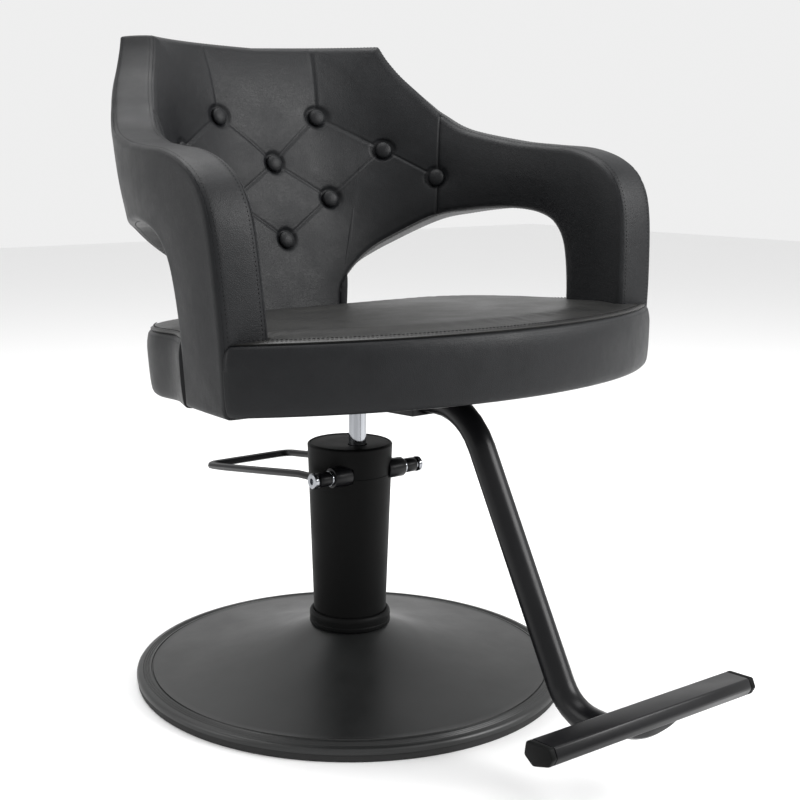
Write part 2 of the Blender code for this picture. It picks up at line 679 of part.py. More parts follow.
def build_seat(bolt_places):
    board = outline_mesh("seat_board", [seat_outline(0.030)], BOARD_T)
    board_low = GAP
    thing = add_object("seat_board", placed(board, seat_matrix(board_low + BOARD_T / 2)), PLYWOOD)
    holes = []
    for x, y in bolt_places:
        hole = rod_mesh("hole", 0.0043, 0.0140, 12)
        holes.append(placed(hole, seat_matrix(-0.004) @ Matrix.Translation((x, y, 0))))
    room = leg_room()
    cut(thing, holes + room)

    cover = outline_mesh("dust_cover", [seat_outline(0.034)], COVER_T)
    lining = add_object("dust_cover", placed(cover, seat_matrix(-COVER_T / 2)), LINING)
    holes = []
    for x, y in bolt_places:
        hole = rod_mesh("hole", 0.0043, 0.02, 12)
        holes.append(placed(hole, seat_matrix(-0.01) @ Matrix.Translation((x, y, 0))))
    cut(lining, holes + leg_room())

    cushion = cushion_mesh()
    pad = add_object("seat_cushion", placed(cushion, seat_matrix(0)), VINYL)
    pocket = outline_mesh("pocket", [seat_outline(0.030 - GAP)], 0.04)
    pocket = placed(pocket, seat_matrix(BOARD_T + GAP * 2 - 0.02))
    cut(pad, [pocket] + leg_room())
    smooth(pad, 50)


def cushion_mesh():
    """The cushion as a stack of outlines: drawn in below, full at the piping, crowned on top."""
    levels = [(0.009, 0.0), (0.003, 0.008), (0.0005, 0.034), (0.0, CUSHION_T - 0.004)]
    levels += [(0.008, CUSHION_T + 0.002), (0.030, CUSHION_T + 0.0035), (0.075, CUSHION_T + 0.0045)]
    bm = bmesh.new()
    rings = []
    for inset, height in levels:
        rings.append([bm.verts.new((x, y, height)) for x, y in seat_outline(inset, 7)])
    for low, high in zip(rings, rings[1:]):
        for k in range(len(low)):
            n = (k + 1) % len(low)
            bm.faces.new((low[k], low[n], high[n], high[k]))
    bm.faces.new(rings[-1])
    bm.faces.new(rings[0][::-1])
    return mesh_from(bm, "seat_cushion")


def leg_room():
    """Cutters that leave room in the seat for the two arm legs."""
    gap = 0.0006
    s_low = LOW_EDGE[FOOT][0] - 0.0025
    s_high = HIGH_EDGE[FOOT - 1][0] + 0.0012
    z_range = (0.380, 0.600)
    made = []
    for side in (-1, 1):
        reach = sorted((side * s_low, side * s_high))
        made.append(shell_block_mesh("leg_room", reach, z_range, -gap, SHELL_T + 0.02))
    return made


# ---- the footrest ----
def build_footrest():
    """Sleeve in front of the seat plate, the bent tube that slides into it, and the foot rail."""
    rear = -SEAT_PLATE_HALF - 0.0015
    top = -COVER_T - GAP * 2
    under_plate = top - SEAT_PLATE_T - GAP
    sleeve = [(rear, top), (-0.150, top), (-0.150, -STEM_DROP - 0.0195), (-0.058, -STEM_DROP - 0.0195),
              (-0.046, under_plate - 0.012), (-0.046, under_plate), (rear, under_plate)]
    block = outline_mesh("footrest_socket", [sleeve], 0.052)
    socket = add_object("footrest_socket", placed(block, seat_matrix(0) @ ACROSS), BLACK_METAL)
    bore = rod_mesh("bore", STEM_R + GAP, 0.1)
    lay = Matrix.Translation((0, -0.0960, -STEM_DROP)) @ Matrix.Rotation(math.radians(90), 4, "X")
    cut(socket, [placed(bore, seat_matrix(0) @ lay)])

    start, bend = (seat_matrix(-STEM_DROP) @ Vector((0, y, 0)) for y in (-0.0965, -STEM_BEND))
    route = [start, bend, (0, -0.434, 0.0875), (0, -0.4865, 0.0875)]
    stem = tube_mesh("footrest_stem", filleted(route, [0, 0.090, 0.060, 0], 6), STEM_R, 4)
    smooth(add_object("footrest_stem", stem, BLACK_METAL), 50)

    corners = [(-0.5266, 0.116, 0), (-0.529, 0.1325, 0), (-0.563, 0.1345, 0), (-0.568, 0.124, 0),
               (-0.563, 0.1145, 0), (-0.540, 0.1072, 0)]
    radii = [0.004, 0.004, 0.003, 0.004, 0.005, 0.006]
    section = [(p.x, p.y) for p in filleted(corners, radii, 3, closed=True)]
    middle = Vector((sum(y for y, z in section), sum(z for y, z in section))) / len(section)
    shrink = 1 - BAR_WALL / 0.0125
    hollow = [tuple(middle + (Vector(p) - middle) * shrink) for p in section]
    bar = outline_mesh("footrest_bar", [section, hollow], 2 * (BAR_HALF - BAR_CAP - GAP))
    thing = add_object("footrest_bar", placed(bar, ACROSS), BLACK_METAL)
    screw_y = -0.5475
    cut(thing, [placed(rod_mesh("hole", 0.0033, 0.016, 20), Matrix.Translation((0, screw_y, 0.101)))])
    smooth(thing, 40)
    for label, side in (("left", 1), ("right", -1)):
        cap = outline_mesh("footrest_cap", [section], BAR_CAP)
        shift = Matrix.Translation((side * (BAR_HALF - BAR_CAP / 2), 0, 0))
        smooth(add_object(f"footrest_cap_{label}", placed(cap, shift @ ACROSS), BLACK_PLASTIC), 40)

    saddle = add_object("footrest_saddle", saddle_mesh(), BLACK_METAL)
    hole = placed(rod_mesh("hole", 0.0033, 0.06, 20), Matrix.Translation((0, screw_y, 0.070)))
    sink = placed(rod_mesh("sink", 0.0062, 0.0080, 24), Matrix.Translation((0, screw_y, 0.0963)))
    cut(saddle, [hole, sink])
    smooth(saddle, 40)
    screw = [(0.0, 0.1036), (0.0025, 0.1036), (0.0025, 0.1014), (0.0055, 0.1014), (0.0055, 0.1040)]
    screw += [(0.0030, 0.1040), (0.0030, 0.1150), (0.0, 0.1150)]
    shift = Matrix.Translation((0, screw_y, 0))
    smooth(add_object("footrest_screw", placed(turned_mesh("footrest_screw", screw, 14), shift), DARK_STEEL))


def saddle_mesh():
    """The boat-shaped piece under the middle of the foot rail, narrower behind, where it meets the tube.

    It is a row of sections along X. Each has the same top line and a low line that rises at the ends.
    """
    half = 0.036
    top = [(-0.4872, 0.1010), (-0.5240, 0.1040), (-0.5335, 0.1108), (-0.5400, 0.1068), (-0.5600, 0.1132)]
    low = [(-0.5590, 0.0075), (-0.5560, 0.0095), (-0.5500, 0.0105), (-0.5420, 0.0085), (-0.5350, 0.0080),
           (-0.5240, 0.0100), (-0.4880, 0.0210)]
    stations = 12
    bm = bmesh.new()
    rings = []
    for k in range(stations + 1):
        x = half * math.cos(math.pi * k / stations)
        swell = 0.06 + 0.94 * (1 - (x / half) ** 2) ** 0.8
        section = list(top)
        for y, depth in low:
            (y0, z0), (y1, z1) = next((p, q) for p, q in zip(top, top[1:]) if q[0] <= y <= p[0])
            section.append((y, z0 + (z1 - z0) * (y - y0) / (y1 - y0) - depth * swell))
        taper = [1 - 0.5 * min(1, max(0, y + 0.5335) / 0.046) for y, z in section]
        rings.append([bm.verts.new((x * share, y, z)) for share, (y, z) in zip(taper, section)])
    for one, other in zip(rings, rings[1:]):
        for k in range(len(one)):
            n = (k + 1) % len(one)
            bm.faces.new((one[k], one[n], other[n], other[k]))
    bm.faces.new(rings[0][::-1])
    bm.faces.new(rings[-1])
    return mesh_from(bm, "footrest_saddle")


# ---- the upholstered shell ----
def build_shell():
    seam_gap = 0.03
    back = spread(-SEAM, -CORNER, 2) + spread(-CORNER, CORNER, 4)[1:] + spread(CORNER, SEAM, 2)[1:]
    right = spread(-FOOT, -SEAM - seam_gap, 2)
    left = spread(SEAM + seam_gap, FOOT, 2)
    core_in = PAD_T + LAYER_GAP
    cover_in = core_in + CORE_T + LAYER_GAP
    shell_layer("back_pad", back, 0.0, PAD_T, VINYL)
    shell_layer("arm_pad_left", left, 0.0, PAD_T, VINYL)
    shell_layer("arm_pad_right", right, 0.0, PAD_T, VINYL)
    whole = right[:-1] + back + left[1:]
    shell_layer("shell_core", whole, core_in, core_in + CORE_T, PLYWOOD)
    shell_layer("shell_cover", whole, cover_in, SHELL_T, VINYL)


def build_buttons():
    """Ten covered buttons in staggered rows of two, three, four and one."""
    rows = [(0.7745, (-0.96, 0.96)), (0.7090, (0.0,)), (0.7275, (-2.0, 2.0)),
            (0.6575, (-1.03, 1.03)), (0.6880, (-2.88, 2.88)), (0.6015, (0.0,))]
    count = 0
    for z, steps in rows:
        for step in steps:
            count += 1
            s = step * BUTTON_PITCH
            face = shell_point(s, z, 0.0)
            out = shell_point(s, z, -0.01) - face
            rise = shell_point(s, z + 0.01, 0.0) - shell_point(s, z - 0.01, 0.0)
            normal = (out - rise * out.dot(rise) / rise.length_squared).normalized()
            profile = [(0.0, 0.0), (BUTTON_R, 0.0), (BUTTON_R, BUTTON_H * 0.5)]
            profile += [(BUTTON_R * 0.6, BUTTON_H * 0.95), (0.0, BUTTON_H)]
            mesh = turned_mesh("button", profile, 14)
            turn = normal.to_track_quat("Z", "Y").to_matrix().to_4x4()
            place = Matrix.Translation(face + normal * BUTTON_STAND) @ turn
            smooth(add_object(f"button_{count:02d}", placed(mesh, place), VINYL))


def main():
    global parts, cutters
    clear_scene()
    parts = new_collection("styling_chair")
    cutters = new_collection("cutters")
    build_base()
    build_shroud()
    build_pump()
    build_pedal()
    build_plunger()
    build_rod()
    build_hub()
    build_seat(build_seat_plate())
    build_footrest()
    build_shell()
    build_buttons()


main()
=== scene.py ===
"""Looks of a hydraulic styling chair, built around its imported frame.

The upholstered shell, the seat, the turned base and the painted and plated metalwork are modelled here in
metres, +Z up, in the frame's own place. The sitter faces -Y.
"""
import json
import logging
import math
from dataclasses import dataclass, field
from enum import Enum
from typing import Any, Callable, Iterable, Optional, Sequence

import bmesh
import bpy
import numpy as np
from mathutils import Matrix, Vector


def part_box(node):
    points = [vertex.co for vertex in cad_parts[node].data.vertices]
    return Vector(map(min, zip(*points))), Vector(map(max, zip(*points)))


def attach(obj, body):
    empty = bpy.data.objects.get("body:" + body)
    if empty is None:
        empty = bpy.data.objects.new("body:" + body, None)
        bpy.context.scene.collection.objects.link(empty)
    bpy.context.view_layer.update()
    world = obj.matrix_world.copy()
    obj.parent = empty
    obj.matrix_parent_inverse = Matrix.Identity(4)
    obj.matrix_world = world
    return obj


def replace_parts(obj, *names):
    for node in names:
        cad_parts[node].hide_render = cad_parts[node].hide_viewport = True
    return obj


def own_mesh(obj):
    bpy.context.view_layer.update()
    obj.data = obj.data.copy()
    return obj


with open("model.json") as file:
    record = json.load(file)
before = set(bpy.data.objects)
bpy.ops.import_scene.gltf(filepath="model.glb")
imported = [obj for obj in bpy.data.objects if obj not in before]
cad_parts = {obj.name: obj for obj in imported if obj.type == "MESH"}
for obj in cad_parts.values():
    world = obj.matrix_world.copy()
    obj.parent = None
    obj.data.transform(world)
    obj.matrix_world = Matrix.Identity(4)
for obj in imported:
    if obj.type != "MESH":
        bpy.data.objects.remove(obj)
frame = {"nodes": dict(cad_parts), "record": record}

LOG = logging.getLogger("styling_chair")
MM = 0.001


class Body(Enum):
    """Moving bodies of the chair."""

    BASE = "base"
    PEDAL = "pedal"
    PLUNGER = "plunger"
    LIFT = "lift"
    SEAT = "seat"


class Slot(Enum):
    """Material slots of the record."""

    BLACK_METAL = "black_metal"
    DARK_STEEL = "dark_steel"
    CHROME = "chrome"
    BLACK_PLASTIC = "black_plastic"
    RUBBER = "rubber"
    VINYL = "vinyl"
    PLYWOOD = "plywood"
    LINING = "lining"


# ---- materials ----
def linear(code: str) -> tuple[float, float, float, float]:
    """Turn an sRGB hex colour into linear light.

    Args:
        code: six hex digits, such as "1d1f21".

    Returns:
        Linear red, green and blue, and an alpha of one.
    """
    shares = [int(code[k:k + 2], 16) / 255 for k in (0, 2, 4)]
    light = [c / 12.92 if c <= 0.04045 else ((c + 0.055) / 1.055) ** 2.4 for c in shares]
    return (light[0], light[1], light[2], 1.0)


def add_node(tree: bpy.types.NodeTree, kind: str, inputs: Optional[dict[Any, Any]] = None,
             **settings: Any) -> bpy.types.Node:
    """Add a shader node, with its settings, values and links.

    Args:
        tree: the material's node tree.
        kind: the node's type name.
        inputs: by socket name or number, a value, or the socket that feeds it.
        settings: the node's own properties.

    Returns:
        The new node.
    """
    node = tree.nodes.new(kind)
    for key, value in settings.items():
        setattr(node, key, value)
    for socket, value in (inputs or {}).items():
        if isinstance(value, bpy.types.NodeSocket):
            tree.links.new(value, node.inputs[socket])
        else:
            node.inputs[socket].default_value = value
    return node


def per_metre(size_mm: float) -> float:
    """Scale of a pattern whose repeat is a size in millimetres."""
    return 1000.0 / size_mm


@dataclass(frozen=True)
class Finish:
    """A surface: two close colours, a roughness that varies, and up to two layers of relief.

    Sizes of grain are in millimetres, depths of relief too.
    """

    name: str
    dark: str
    light: str
    patch_mm: float = 60.0
    roughness: tuple[float, float] = (0.4, 0.5)
    metallic: float = 0.0
    grain_mm: float = 1.5
    grain_depth: float = 0.05
    cells: bool = False
    swell_mm: float = 14.0
    swell_depth: float = 0.0
    coat: float = 0.0
    coat_roughness: float = 0.2
    sheen: float = 0.0
    stretch: tuple[float, float, float] = (1.0, 1.0, 1.0)
    shine: float = 0.5

    def material(self) -> bpy.types.Material:
        """Build the node material.

        Returns:
            The new material.
        """
        made = bpy.data.materials.new(self.name)
        made.use_nodes = True
        tree = made.node_tree
        shader = tree.nodes["Principled BSDF"]
        place = add_node(tree, "ShaderNodeTexCoord")
        mapping = add_node(tree, "ShaderNodeMapping", {"Vector": place.outputs["Object"]})
        mapping.inputs["Scale"].default_value = self.stretch
        point = mapping.outputs["Vector"]
        patches = add_node(tree, "ShaderNodeTexNoise", {
            "Vector": point, "Scale": per_metre(self.patch_mm), "Detail": 4.0, "Roughness": 0.6})
        blend = add_node(tree, "ShaderNodeMapRange", {
            "Value": patches.outputs["Fac"], "From Min": 0.3, "From Max": 0.7})
        colour = add_node(tree, "ShaderNodeMix", {
            "Factor": blend.outputs["Result"], 6: linear(self.dark), 7: linear(self.light)}, data_type="RGBA")
        tree.links.new(colour.outputs[2], shader.inputs["Base Color"])
        if self.cells:
            grain = add_node(tree, "ShaderNodeTexVoronoi", {
                "Vector": point, "Scale": per_metre(self.grain_mm)}, feature="DISTANCE_TO_EDGE")
            height = add_node(tree, "ShaderNodeMapRange", {
                "Value": grain.outputs["Distance"], "From Min": 0.0, "From Max": 0.25}).outputs["Result"]
        else:
            grain = add_node(tree, "ShaderNodeTexNoise", {
                "Vector": point, "Scale": per_metre(self.grain_mm), "Detail": 2.0})
            height = grain.outputs["Fac"]
        rough = add_node(tree, "ShaderNodeMapRange", {
            "Value": patches.outputs["Fac"], "From Min": 0.3, "From Max": 0.7,
            "To Min": self.roughness[0], "To Max": self.roughness[1]})
        tree.links.new(rough.outputs["Result"], shader.inputs["Roughness"])
        relief = add_node(tree, "ShaderNodeBump", {
            "Height": height, "Strength": 1.0, "Distance": self.grain_depth * MM})
        if self.swell_depth:
            swell = add_node(tree, "ShaderNodeTexNoise", {
                "Vector": point, "Scale": per_metre(self.swell_mm), "Detail": 3.0})
            relief = add_node(tree, "ShaderNodeBump", {
                "Height": swell.outputs["Fac"], "Strength": 1.0, "Distance": self.swell_depth * MM,
                "Normal": relief.outputs["Normal"]})
        tree.links.new(relief.outputs["Normal"], shader.inputs["Normal"])
        shader.inputs["Metallic"].default_value = self.metallic
        shader.inputs["Coat Weight"].default_value = self.coat
        shader.inputs["Coat Roughness"].default_value = self.coat_roughness
        shader.inputs["Sheen Weight"].default_value = self.sheen
        shader.inputs["Specular IOR Level"].default_value = self.shine
        return made


# Embossed PVC upholstery: a fine pebble grain over a soft swell, with a broad cool highlight.
UPHOLSTERY = Finish("embossed_vinyl", "0e0f11", "141517", 45, (0.38, 0.50), 0.0, 1.9, 0.10, True, 16, 0.40,
                    shine=0.21)
# The same cloth on the seat top, made lighter and shinier as painted light from above, a little smoother and
# warmer in tone.
SEAT_TOP_LIT_VINYL = Finish("seat_top_vinyl_painted_light", "121212", "191917", 70, (0.34, 0.44), 0.0, 1.9, 0.07, True, 22, 0.45,
                   shine=0.38)
# Polyester sewing thread: dull, slightly darker than the cloth.
THREAD = Finish("bonded_thread", "070708", "0c0c0d", 8, (0.55, 0.7), 0.0, 0.8, 0.05, shine=0.15)
# Baked powder coat: satin black with faint orange peel.
POWDER_COAT = Finish("powder_coat", "101111", "171818", 80, (0.36, 0.46), 0.0, 1.8, 0.035, shine=0.50)
# Enamelled tube: smoother and glossier than the base, so it shows long soft highlights.
TUBE_ENAMEL = Finish("tube_enamel", "09090b", "0e0e10", 60, (0.28, 0.36), 0.0, 2.0, 0.02, shine=0.20)
# Moulded ABS with a spark-eroded texture: dark and matt.
MOULDED_ABS = Finish("moulded_abs", "050606", "090909", 50, (0.48, 0.58), 0.0, 1.3, 0.05, shine=0.08)
# Hard chrome plate: near mirror with faint draw lines along the rod.
CHROME_PLATE = Finish("chrome_plate", "84868a", "a0a2a6", 12, (0.07, 0.14), 1.0, 2.0, 0.006,
                      stretch=(1.0, 1.0, 0.1))
# Machined steel wiped with oil: dark, with a broad dull highlight.
OILED_STEEL = Finish("oiled_steel", "4a4b4d", "66686b", 20, (0.34, 0.48), 1.0, 1.5, 0.02)
# Moulded nitrile rubber: matt, dusty black.
NITRILE = Finish("nitrile_rubber", "161616", "1f1f1f", 25, (0.75, 0.88), 0.0, 1.4, 0.04)
# Bent beech ply, stained black: long streaks along the grain.
BEECH_PLY = Finish("beech_ply", "0e0d0c", "161412", 9, (0.5, 0.62), 0.0, 1.2, 0.04, stretch=(0.08, 1.0, 1.0))
# Spun-bonded dust cloth under the seat.
SPUN_LINING = Finish("spun_lining", "111112", "1a1a1b", 6, (0.85, 0.95), 0.0, 1.0, 0.08, True, sheen=0.3)


class Wardrobe:
    """Holds one material for each finish, made when first asked for."""

    BY_SLOT = {
        Slot.BLACK_METAL: POWDER_COAT, Slot.DARK_STEEL: OILED_STEEL, Slot.CHROME: CHROME_PLATE,
        Slot.BLACK_PLASTIC: MOULDED_ABS, Slot.RUBBER: NITRILE, Slot.VINYL: UPHOLSTERY,
        Slot.PLYWOOD: BEECH_PLY, Slot.LINING: SPUN_LINING}

    def __init__(self) -> None:
        """Start with nothing made."""
        self.made: dict[str, bpy.types.Material] = {}

    def dress(self, piece: bpy.types.Object, finish: Finish) -> bpy.types.Object:
        """Give a piece one finish all over, and return it."""
        if finish.name not in self.made:
            self.made[finish.name] = finish.material()
        piece.data.materials.clear()
        piece.data.materials.append(self.made[finish.name])
        return piece


WARDROBE = Wardrobe()


# ---- modelling helpers ----
def only(piece: bpy.types.Object) -> None:
    """Select one object alone and make it active."""
    bpy.ops.object.select_all(action="DESELECT")
    piece.select_set(True)
    bpy.context.view_layer.objects.active = piece


def apply_modifier(piece: bpy.types.Object, kind: str, **settings: Any) -> None:
    """Add a modifier with its settings and apply it.

    Args:
        piece: the mesh object.
        kind: the modifier's type.
        settings: the modifier's properties.
    """
    only(piece)
    change = piece.modifiers.new(kind.lower(), kind)
    for key, value in settings.items():
        setattr(change, key, value)
    bpy.ops.object.modifier_apply(modifier=change.name)


def settle(piece: bpy.types.Object, name: str, angle: float = 35.0) -> bpy.types.Object:
    """Name a piece, put its place into its mesh, and shade it smooth up to an angle.

    Args:
        piece: the mesh object.
        name: its final name.
        angle: edges sharper than this, in degrees, stay sharp.

    Returns:
        The piece.
    """
    piece.name = name
    piece.data.name = name
    only(piece)
    bpy.ops.object.transform_apply(location=True, rotation=True, scale=True)
    bpy.ops.object.shade_smooth_by_angle(angle=math.radians(angle))
    return piece


def from_arrays(name: str, points: np.ndarray, faces: Sequence[Sequence[int]],
                angle: float = 180.0) -> bpy.types.Object:
    """Make a mesh object from points and faces.

    Args:
        name: the object's name.
        points: one row of x, y and z for each point.
        faces: lists of point numbers.
        angle: edges sharper than this, in degrees, stay sharp.

    Returns:
        The new object.
    """
    mesh = bpy.data.meshes.new(name)
    mesh.from_pydata(points.tolist(), [], faces)
    mesh.update()
    piece = bpy.data.objects.new(name, mesh)
    bpy.context.scene.collection.objects.link(piece)
    mesh.shade_smooth()
    if angle < 180.0:
        mesh.set_sharp_from_angle(angle=math.radians(angle))
    return piece


def cut_away(piece: bpy.types.Object, tool: bpy.types.Object) -> None:
    """Cut a tool's shape out of a piece, and remove the tool."""
    apply_modifier(piece, "BOOLEAN", operation="DIFFERENCE", solver="EXACT", object=tool)
    bpy.data.objects.remove(tool)


def face_outwards(piece: bpy.types.Object) -> None:
    """Recalculate a closed mesh's normals so that they point out."""
    only(piece)
    bpy.ops.object.mode_set(mode="EDIT")
    bpy.ops.mesh.select_all(action="SELECT")
    bpy.ops.mesh.normals_make_consistent(inside=False)
    bpy.ops.object.mode_set(mode="OBJECT")


def lathe(name: str, profile: Sequence[tuple[float, float]], axis: tuple[float, float] = (0.0, 0.0),
          steps: int = 96, angle: float = 30.0, closed: bool = True) -> bpy.types.Object:
    """Turn a profile, ring after ring: a circle is extruded, sized and moved, until it meets the first ring.

    Args:
        name: the piece's name.
        profile: (radius, height) points.
        axis: where the vertical axis stands, in x and y.
        steps: facets round the piece.
        angle: edges sharper than this, in degrees, stay sharp.
        closed: whether the last ring joins the first; otherwise both ends are filled.

    Returns:
        The turned piece.
    """
    radius, height = profile[0]
    bpy.ops.object.select_all(action="DESELECT")
    bpy.ops.mesh.primitive_circle_add(vertices=steps, radius=radius, location=(*axis, height),
                                      fill_type="NOTHING", enter_editmode=True)
    piece = bpy.context.object
    if not closed:
        bpy.ops.mesh.edge_face_add()
    stops = list(profile[1:]) + ([profile[0]] if closed else [])
    for wide, high in stops:
        bpy.ops.mesh.extrude_region_move(TRANSFORM_OT_translate={"value": (0.0, 0.0, high - height)})
        share = wide / radius
        bpy.ops.transform.resize(value=(share, share, 1.0), center_override=(*axis, high))
        radius, height = wide, high
    bpy.ops.mesh.select_all(action="SELECT")
    bpy.ops.mesh.remove_doubles(threshold=1e-6)
    bpy.ops.mesh.normals_make_consistent(inside=False)
    bpy.ops.object.mode_set(mode="OBJECT")
    return settle(piece, name, angle)


def worked(node: str, name: str, bevel: float = 0.5 * MM, angle: float = 38.0) -> bpy.types.Object:
    """A finished copy of a node: its triangles merged and its sharp edges rounded.

    Args:
        node: the node that the copy stands for.
        name: the new piece's name.
        bevel: width of the rounding.
        angle: edges sharper than this, in degrees, are rounded.

    Returns:
        The copy.
    """
    source = frame["nodes"][node]
    piece = bpy.data.objects.new(name, source.data.copy())
    bpy.context.scene.collection.objects.link(piece)
    only(piece)
    bpy.ops.object.mode_set(mode="EDIT")
    bpy.ops.mesh.select_all(action="SELECT")
    bpy.ops.mesh.remove_doubles(threshold=1e-5)
    bpy.ops.mesh.dissolve_limited(angle_limit=math.radians(0.6))
    bpy.ops.object.mode_set(mode="OBJECT")
    if bevel:
        apply_modifier(piece, "BEVEL", width=bevel, segments=2, limit_method="ANGLE",
                       angle_limit=math.radians(angle), use_clamp_overlap=True)
    settle(piece, name, 32.0)
    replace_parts(piece, node)
    return piece


def mount(piece: bpy.types.Object, body: Body, slot: Slot, finish: Finish) -> bpy.types.Object:
    """Dress a piece and let it ride on its body.

    Args:
        piece: the finished piece.
        body: what it moves with.
        slot: the record's slot for its finish; not used.
        finish: its surface.

    Returns:
        The piece.
    """
    WARDROBE.dress(piece, finish)
    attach(piece, body.value)
    LOG.info("%s rides on %s", piece.name, body.value)
    return piece


# ---- the wrap-round shell ----
Grid = np.ndarray
CORNER = 1
SEAM_PLACE = 6
LOW_EDGE = ((0.0, 0.447), (0.0745, 0.447), (0.0775, 0.520), (0.094, 0.551), (0.128, 0.584), (0.169, 0.609),
            (0.2215, 0.636), (0.262, 0.6435), (0.300, 0.647), (0.340, 0.6475), (0.375, 0.643), (0.403, 0.631),
            (0.421, 0.609), (0.430, 0.580), (0.436, 0.535), (0.437, 0.490), (0.437, 0.439))
HIGH_EDGE = ((0.0, 0.8720), (0.151, 0.8785), (0.160, 0.858), (0.1735, 0.8355), (0.190, 0.8145),
             (0.205, 0.7965), (0.2215, 0.7790), (0.255, 0.7560), (0.322, 0.740), (0.374, 0.7345),
             (0.430, 0.7295), (0.477, 0.714), (0.508, 0.688), (0.525, 0.645), (0.533, 0.560),
             (0.534, 0.490), (0.532, 0.439))
FOOT = len(LOW_EDGE) - 1


@dataclass
class ShellForm:
    """Shape of the shell: a plan curve with a lean, and a low and a high edge along it."""

    plan_z: float = 0.540
    back_y: float = 0.137
    half: float = 0.267
    turn_y: float = -0.183
    front_run: float = 0.12
    power: float = 2.57
    flare: float = 0.122
    lean_back: float = 0.287
    lean_side: float = 0.066
    thickness: float = 0.062
    hang: float = 0.020
    reach: float = 0.012
    table: Grid = field(init=False)

    def __post_init__(self) -> None:
        """Work out the plan's table of run, x and y."""
        angles = np.radians(np.arange(0, 90.25, 0.5))
        depth = self.back_y - self.turn_y
        x = self.half * np.sin(angles) ** (2 / self.power)
        y = self.turn_y + depth * np.clip(np.cos(angles), 0, 1) ** (2 / self.power)
        x = np.append(x, self.half)
        y = np.append(y, self.turn_y - self.front_run)
        x = x * (1 + self.flare * (self.back_y - y))
        run = np.concatenate([[0.0], np.cumsum(np.hypot(np.diff(x), np.diff(y)))])
        self.table = np.stack([run, x, y])

    def plan(self, run: Grid) -> tuple[Grid, Grid]:
        """Return x and y of the plan at a distance from the middle of the back."""
        return np.interp(run, self.table[0], self.table[1]), np.interp(run, self.table[0], self.table[2])

    def outward(self, run: Grid) -> tuple[Grid, Grid]:
        """Return the plan's outward normal at a distance from the middle of the back."""
        ahead = self.plan(run + self.reach)
        behind = self.plan(np.maximum(run - self.reach, 0.0))
        near = np.minimum(run / self.reach, 1.0)
        dx = np.where(near < 1.0, 1.0, ahead[0] - behind[0])
        dy = (ahead[1] - behind[1]) * near
        size = np.hypot(dx, dy)
        return -dy / size, dx / size

    def point(self, s: Grid, z: Grid, depth: Grid) -> Grid:
        """Points of the shell.

        Args:
            s: distance along the plan from the middle of the back, negative on the -X side.
            z: height.
            depth: depth behind the inner face.

        Returns:
            The points, with x, y and z last.
        """
        s, z, depth = np.broadcast_arrays(s, z, depth)
        run = np.abs(s)
        x, y = self.plan(run)
        nx, ny = self.outward(run)
        lean = self.lean_side + (self.lean_back - self.lean_side) * np.clip(ny, 0, None) ** 1.5
        shift = lean * (z - self.plan_z) + depth
        return np.stack([np.where(s < 0, -1.0, 1.0) * (x + nx * shift), y + ny * shift, z], axis=-1)

    def layer(self, s: Grid, z: Grid, depth: Grid, across: Grid) -> Grid:
        """Points of the shell as `point` gives them, with the outer side hanging lower over the arm openings.

        Args:
            s: distance along the plan from the middle of the back.
            z: height on the inner face.
            depth: depth behind the inner face.
            across: how far the point is from the low edge to the high one, 0 to 1.

        Returns:
            The points, with x, y and z last.
        """
        rise = np.clip((np.abs(s) - 0.080) / 0.018, 0, 1)
        fade = np.clip((0.330 - np.abs(s)) / 0.190, 0, 1)
        fall = self.hang / self.thickness * rise * fade * (1 - across)
        return self.point(s, z - fall * np.clip(depth, 0, None), depth)

    def edge(self, points: Sequence[tuple[float, float]], place: Grid) -> Grid:
        """Smooth curve through an edge's points, sharp at the back's top corner.

        Args:
            points: (distance, height) along one half of the edge.
            place: count along those points, negative on the -X side.

        Returns:
            Distance and height at each place.
        """
        knots = np.array(points)
        last = len(knots) - 1
        count = np.abs(place)
        k = np.minimum(count.astype(int), last - 1)
        f = (count - k)[:, None]
        before = np.where((k > 0) & (k != CORNER), k - 1, k)
        after = np.where((k + 2 <= last) & (k + 1 != CORNER), np.minimum(k + 2, last), k + 1)
        b, c = knots[k], knots[k + 1]
        m0 = (c - knots[before]) / 2
        m1 = (knots[after] - b) / 2
        value = b * (2 * f**3 - 3 * f**2 + 1) + m0 * (f**3 - 2 * f**2 + f)
        value += c * (3 * f**2 - 2 * f**3) + m1 * (f**3 - f**2)
        value[:, 0] *= np.where(place < 0, -1.0, 1.0)
        return value

    def stations(self, start: float, end: float, pitch: float) -> Grid:
        """Places from start to end, close enough that neither edge steps further than a pitch."""
        whole = np.unique(np.concatenate([[start, end], np.arange(math.ceil(start), math.floor(end) + 1)]))
        made = [whole[:1]]
        for a, b in zip(whole, whole[1:]):
            ends = np.array([a, (a + b) / 2, b])
            longest = 0.0
            for points in (LOW_EDGE, HIGH_EDGE):
                walk = np.diff(self.edge(points, ends), axis=0)
                longest = max(longest, float(np.hypot(walk[:, 0], walk[:, 1]).sum()))
            count = max(1, math.ceil(longest / pitch))
            made.append(a + (b - a) * np.arange(1, count + 1) / count)
        return np.concatenate(made)

    def grid(self, places: Grid, rows: int) -> tuple[Grid, Grid]:
        """Distance and height of a grid from the low edge to the high one."""
        low = self.edge(LOW_EDGE, places)
        high = self.edge(HIGH_EDGE, places)
        across = np.linspace(0.0, 1.0, rows)[None, :, None]
        both = low[:, None, :] * (1 - across) + high[:, None, :] * across
        return both[..., 0], both[..., 1]

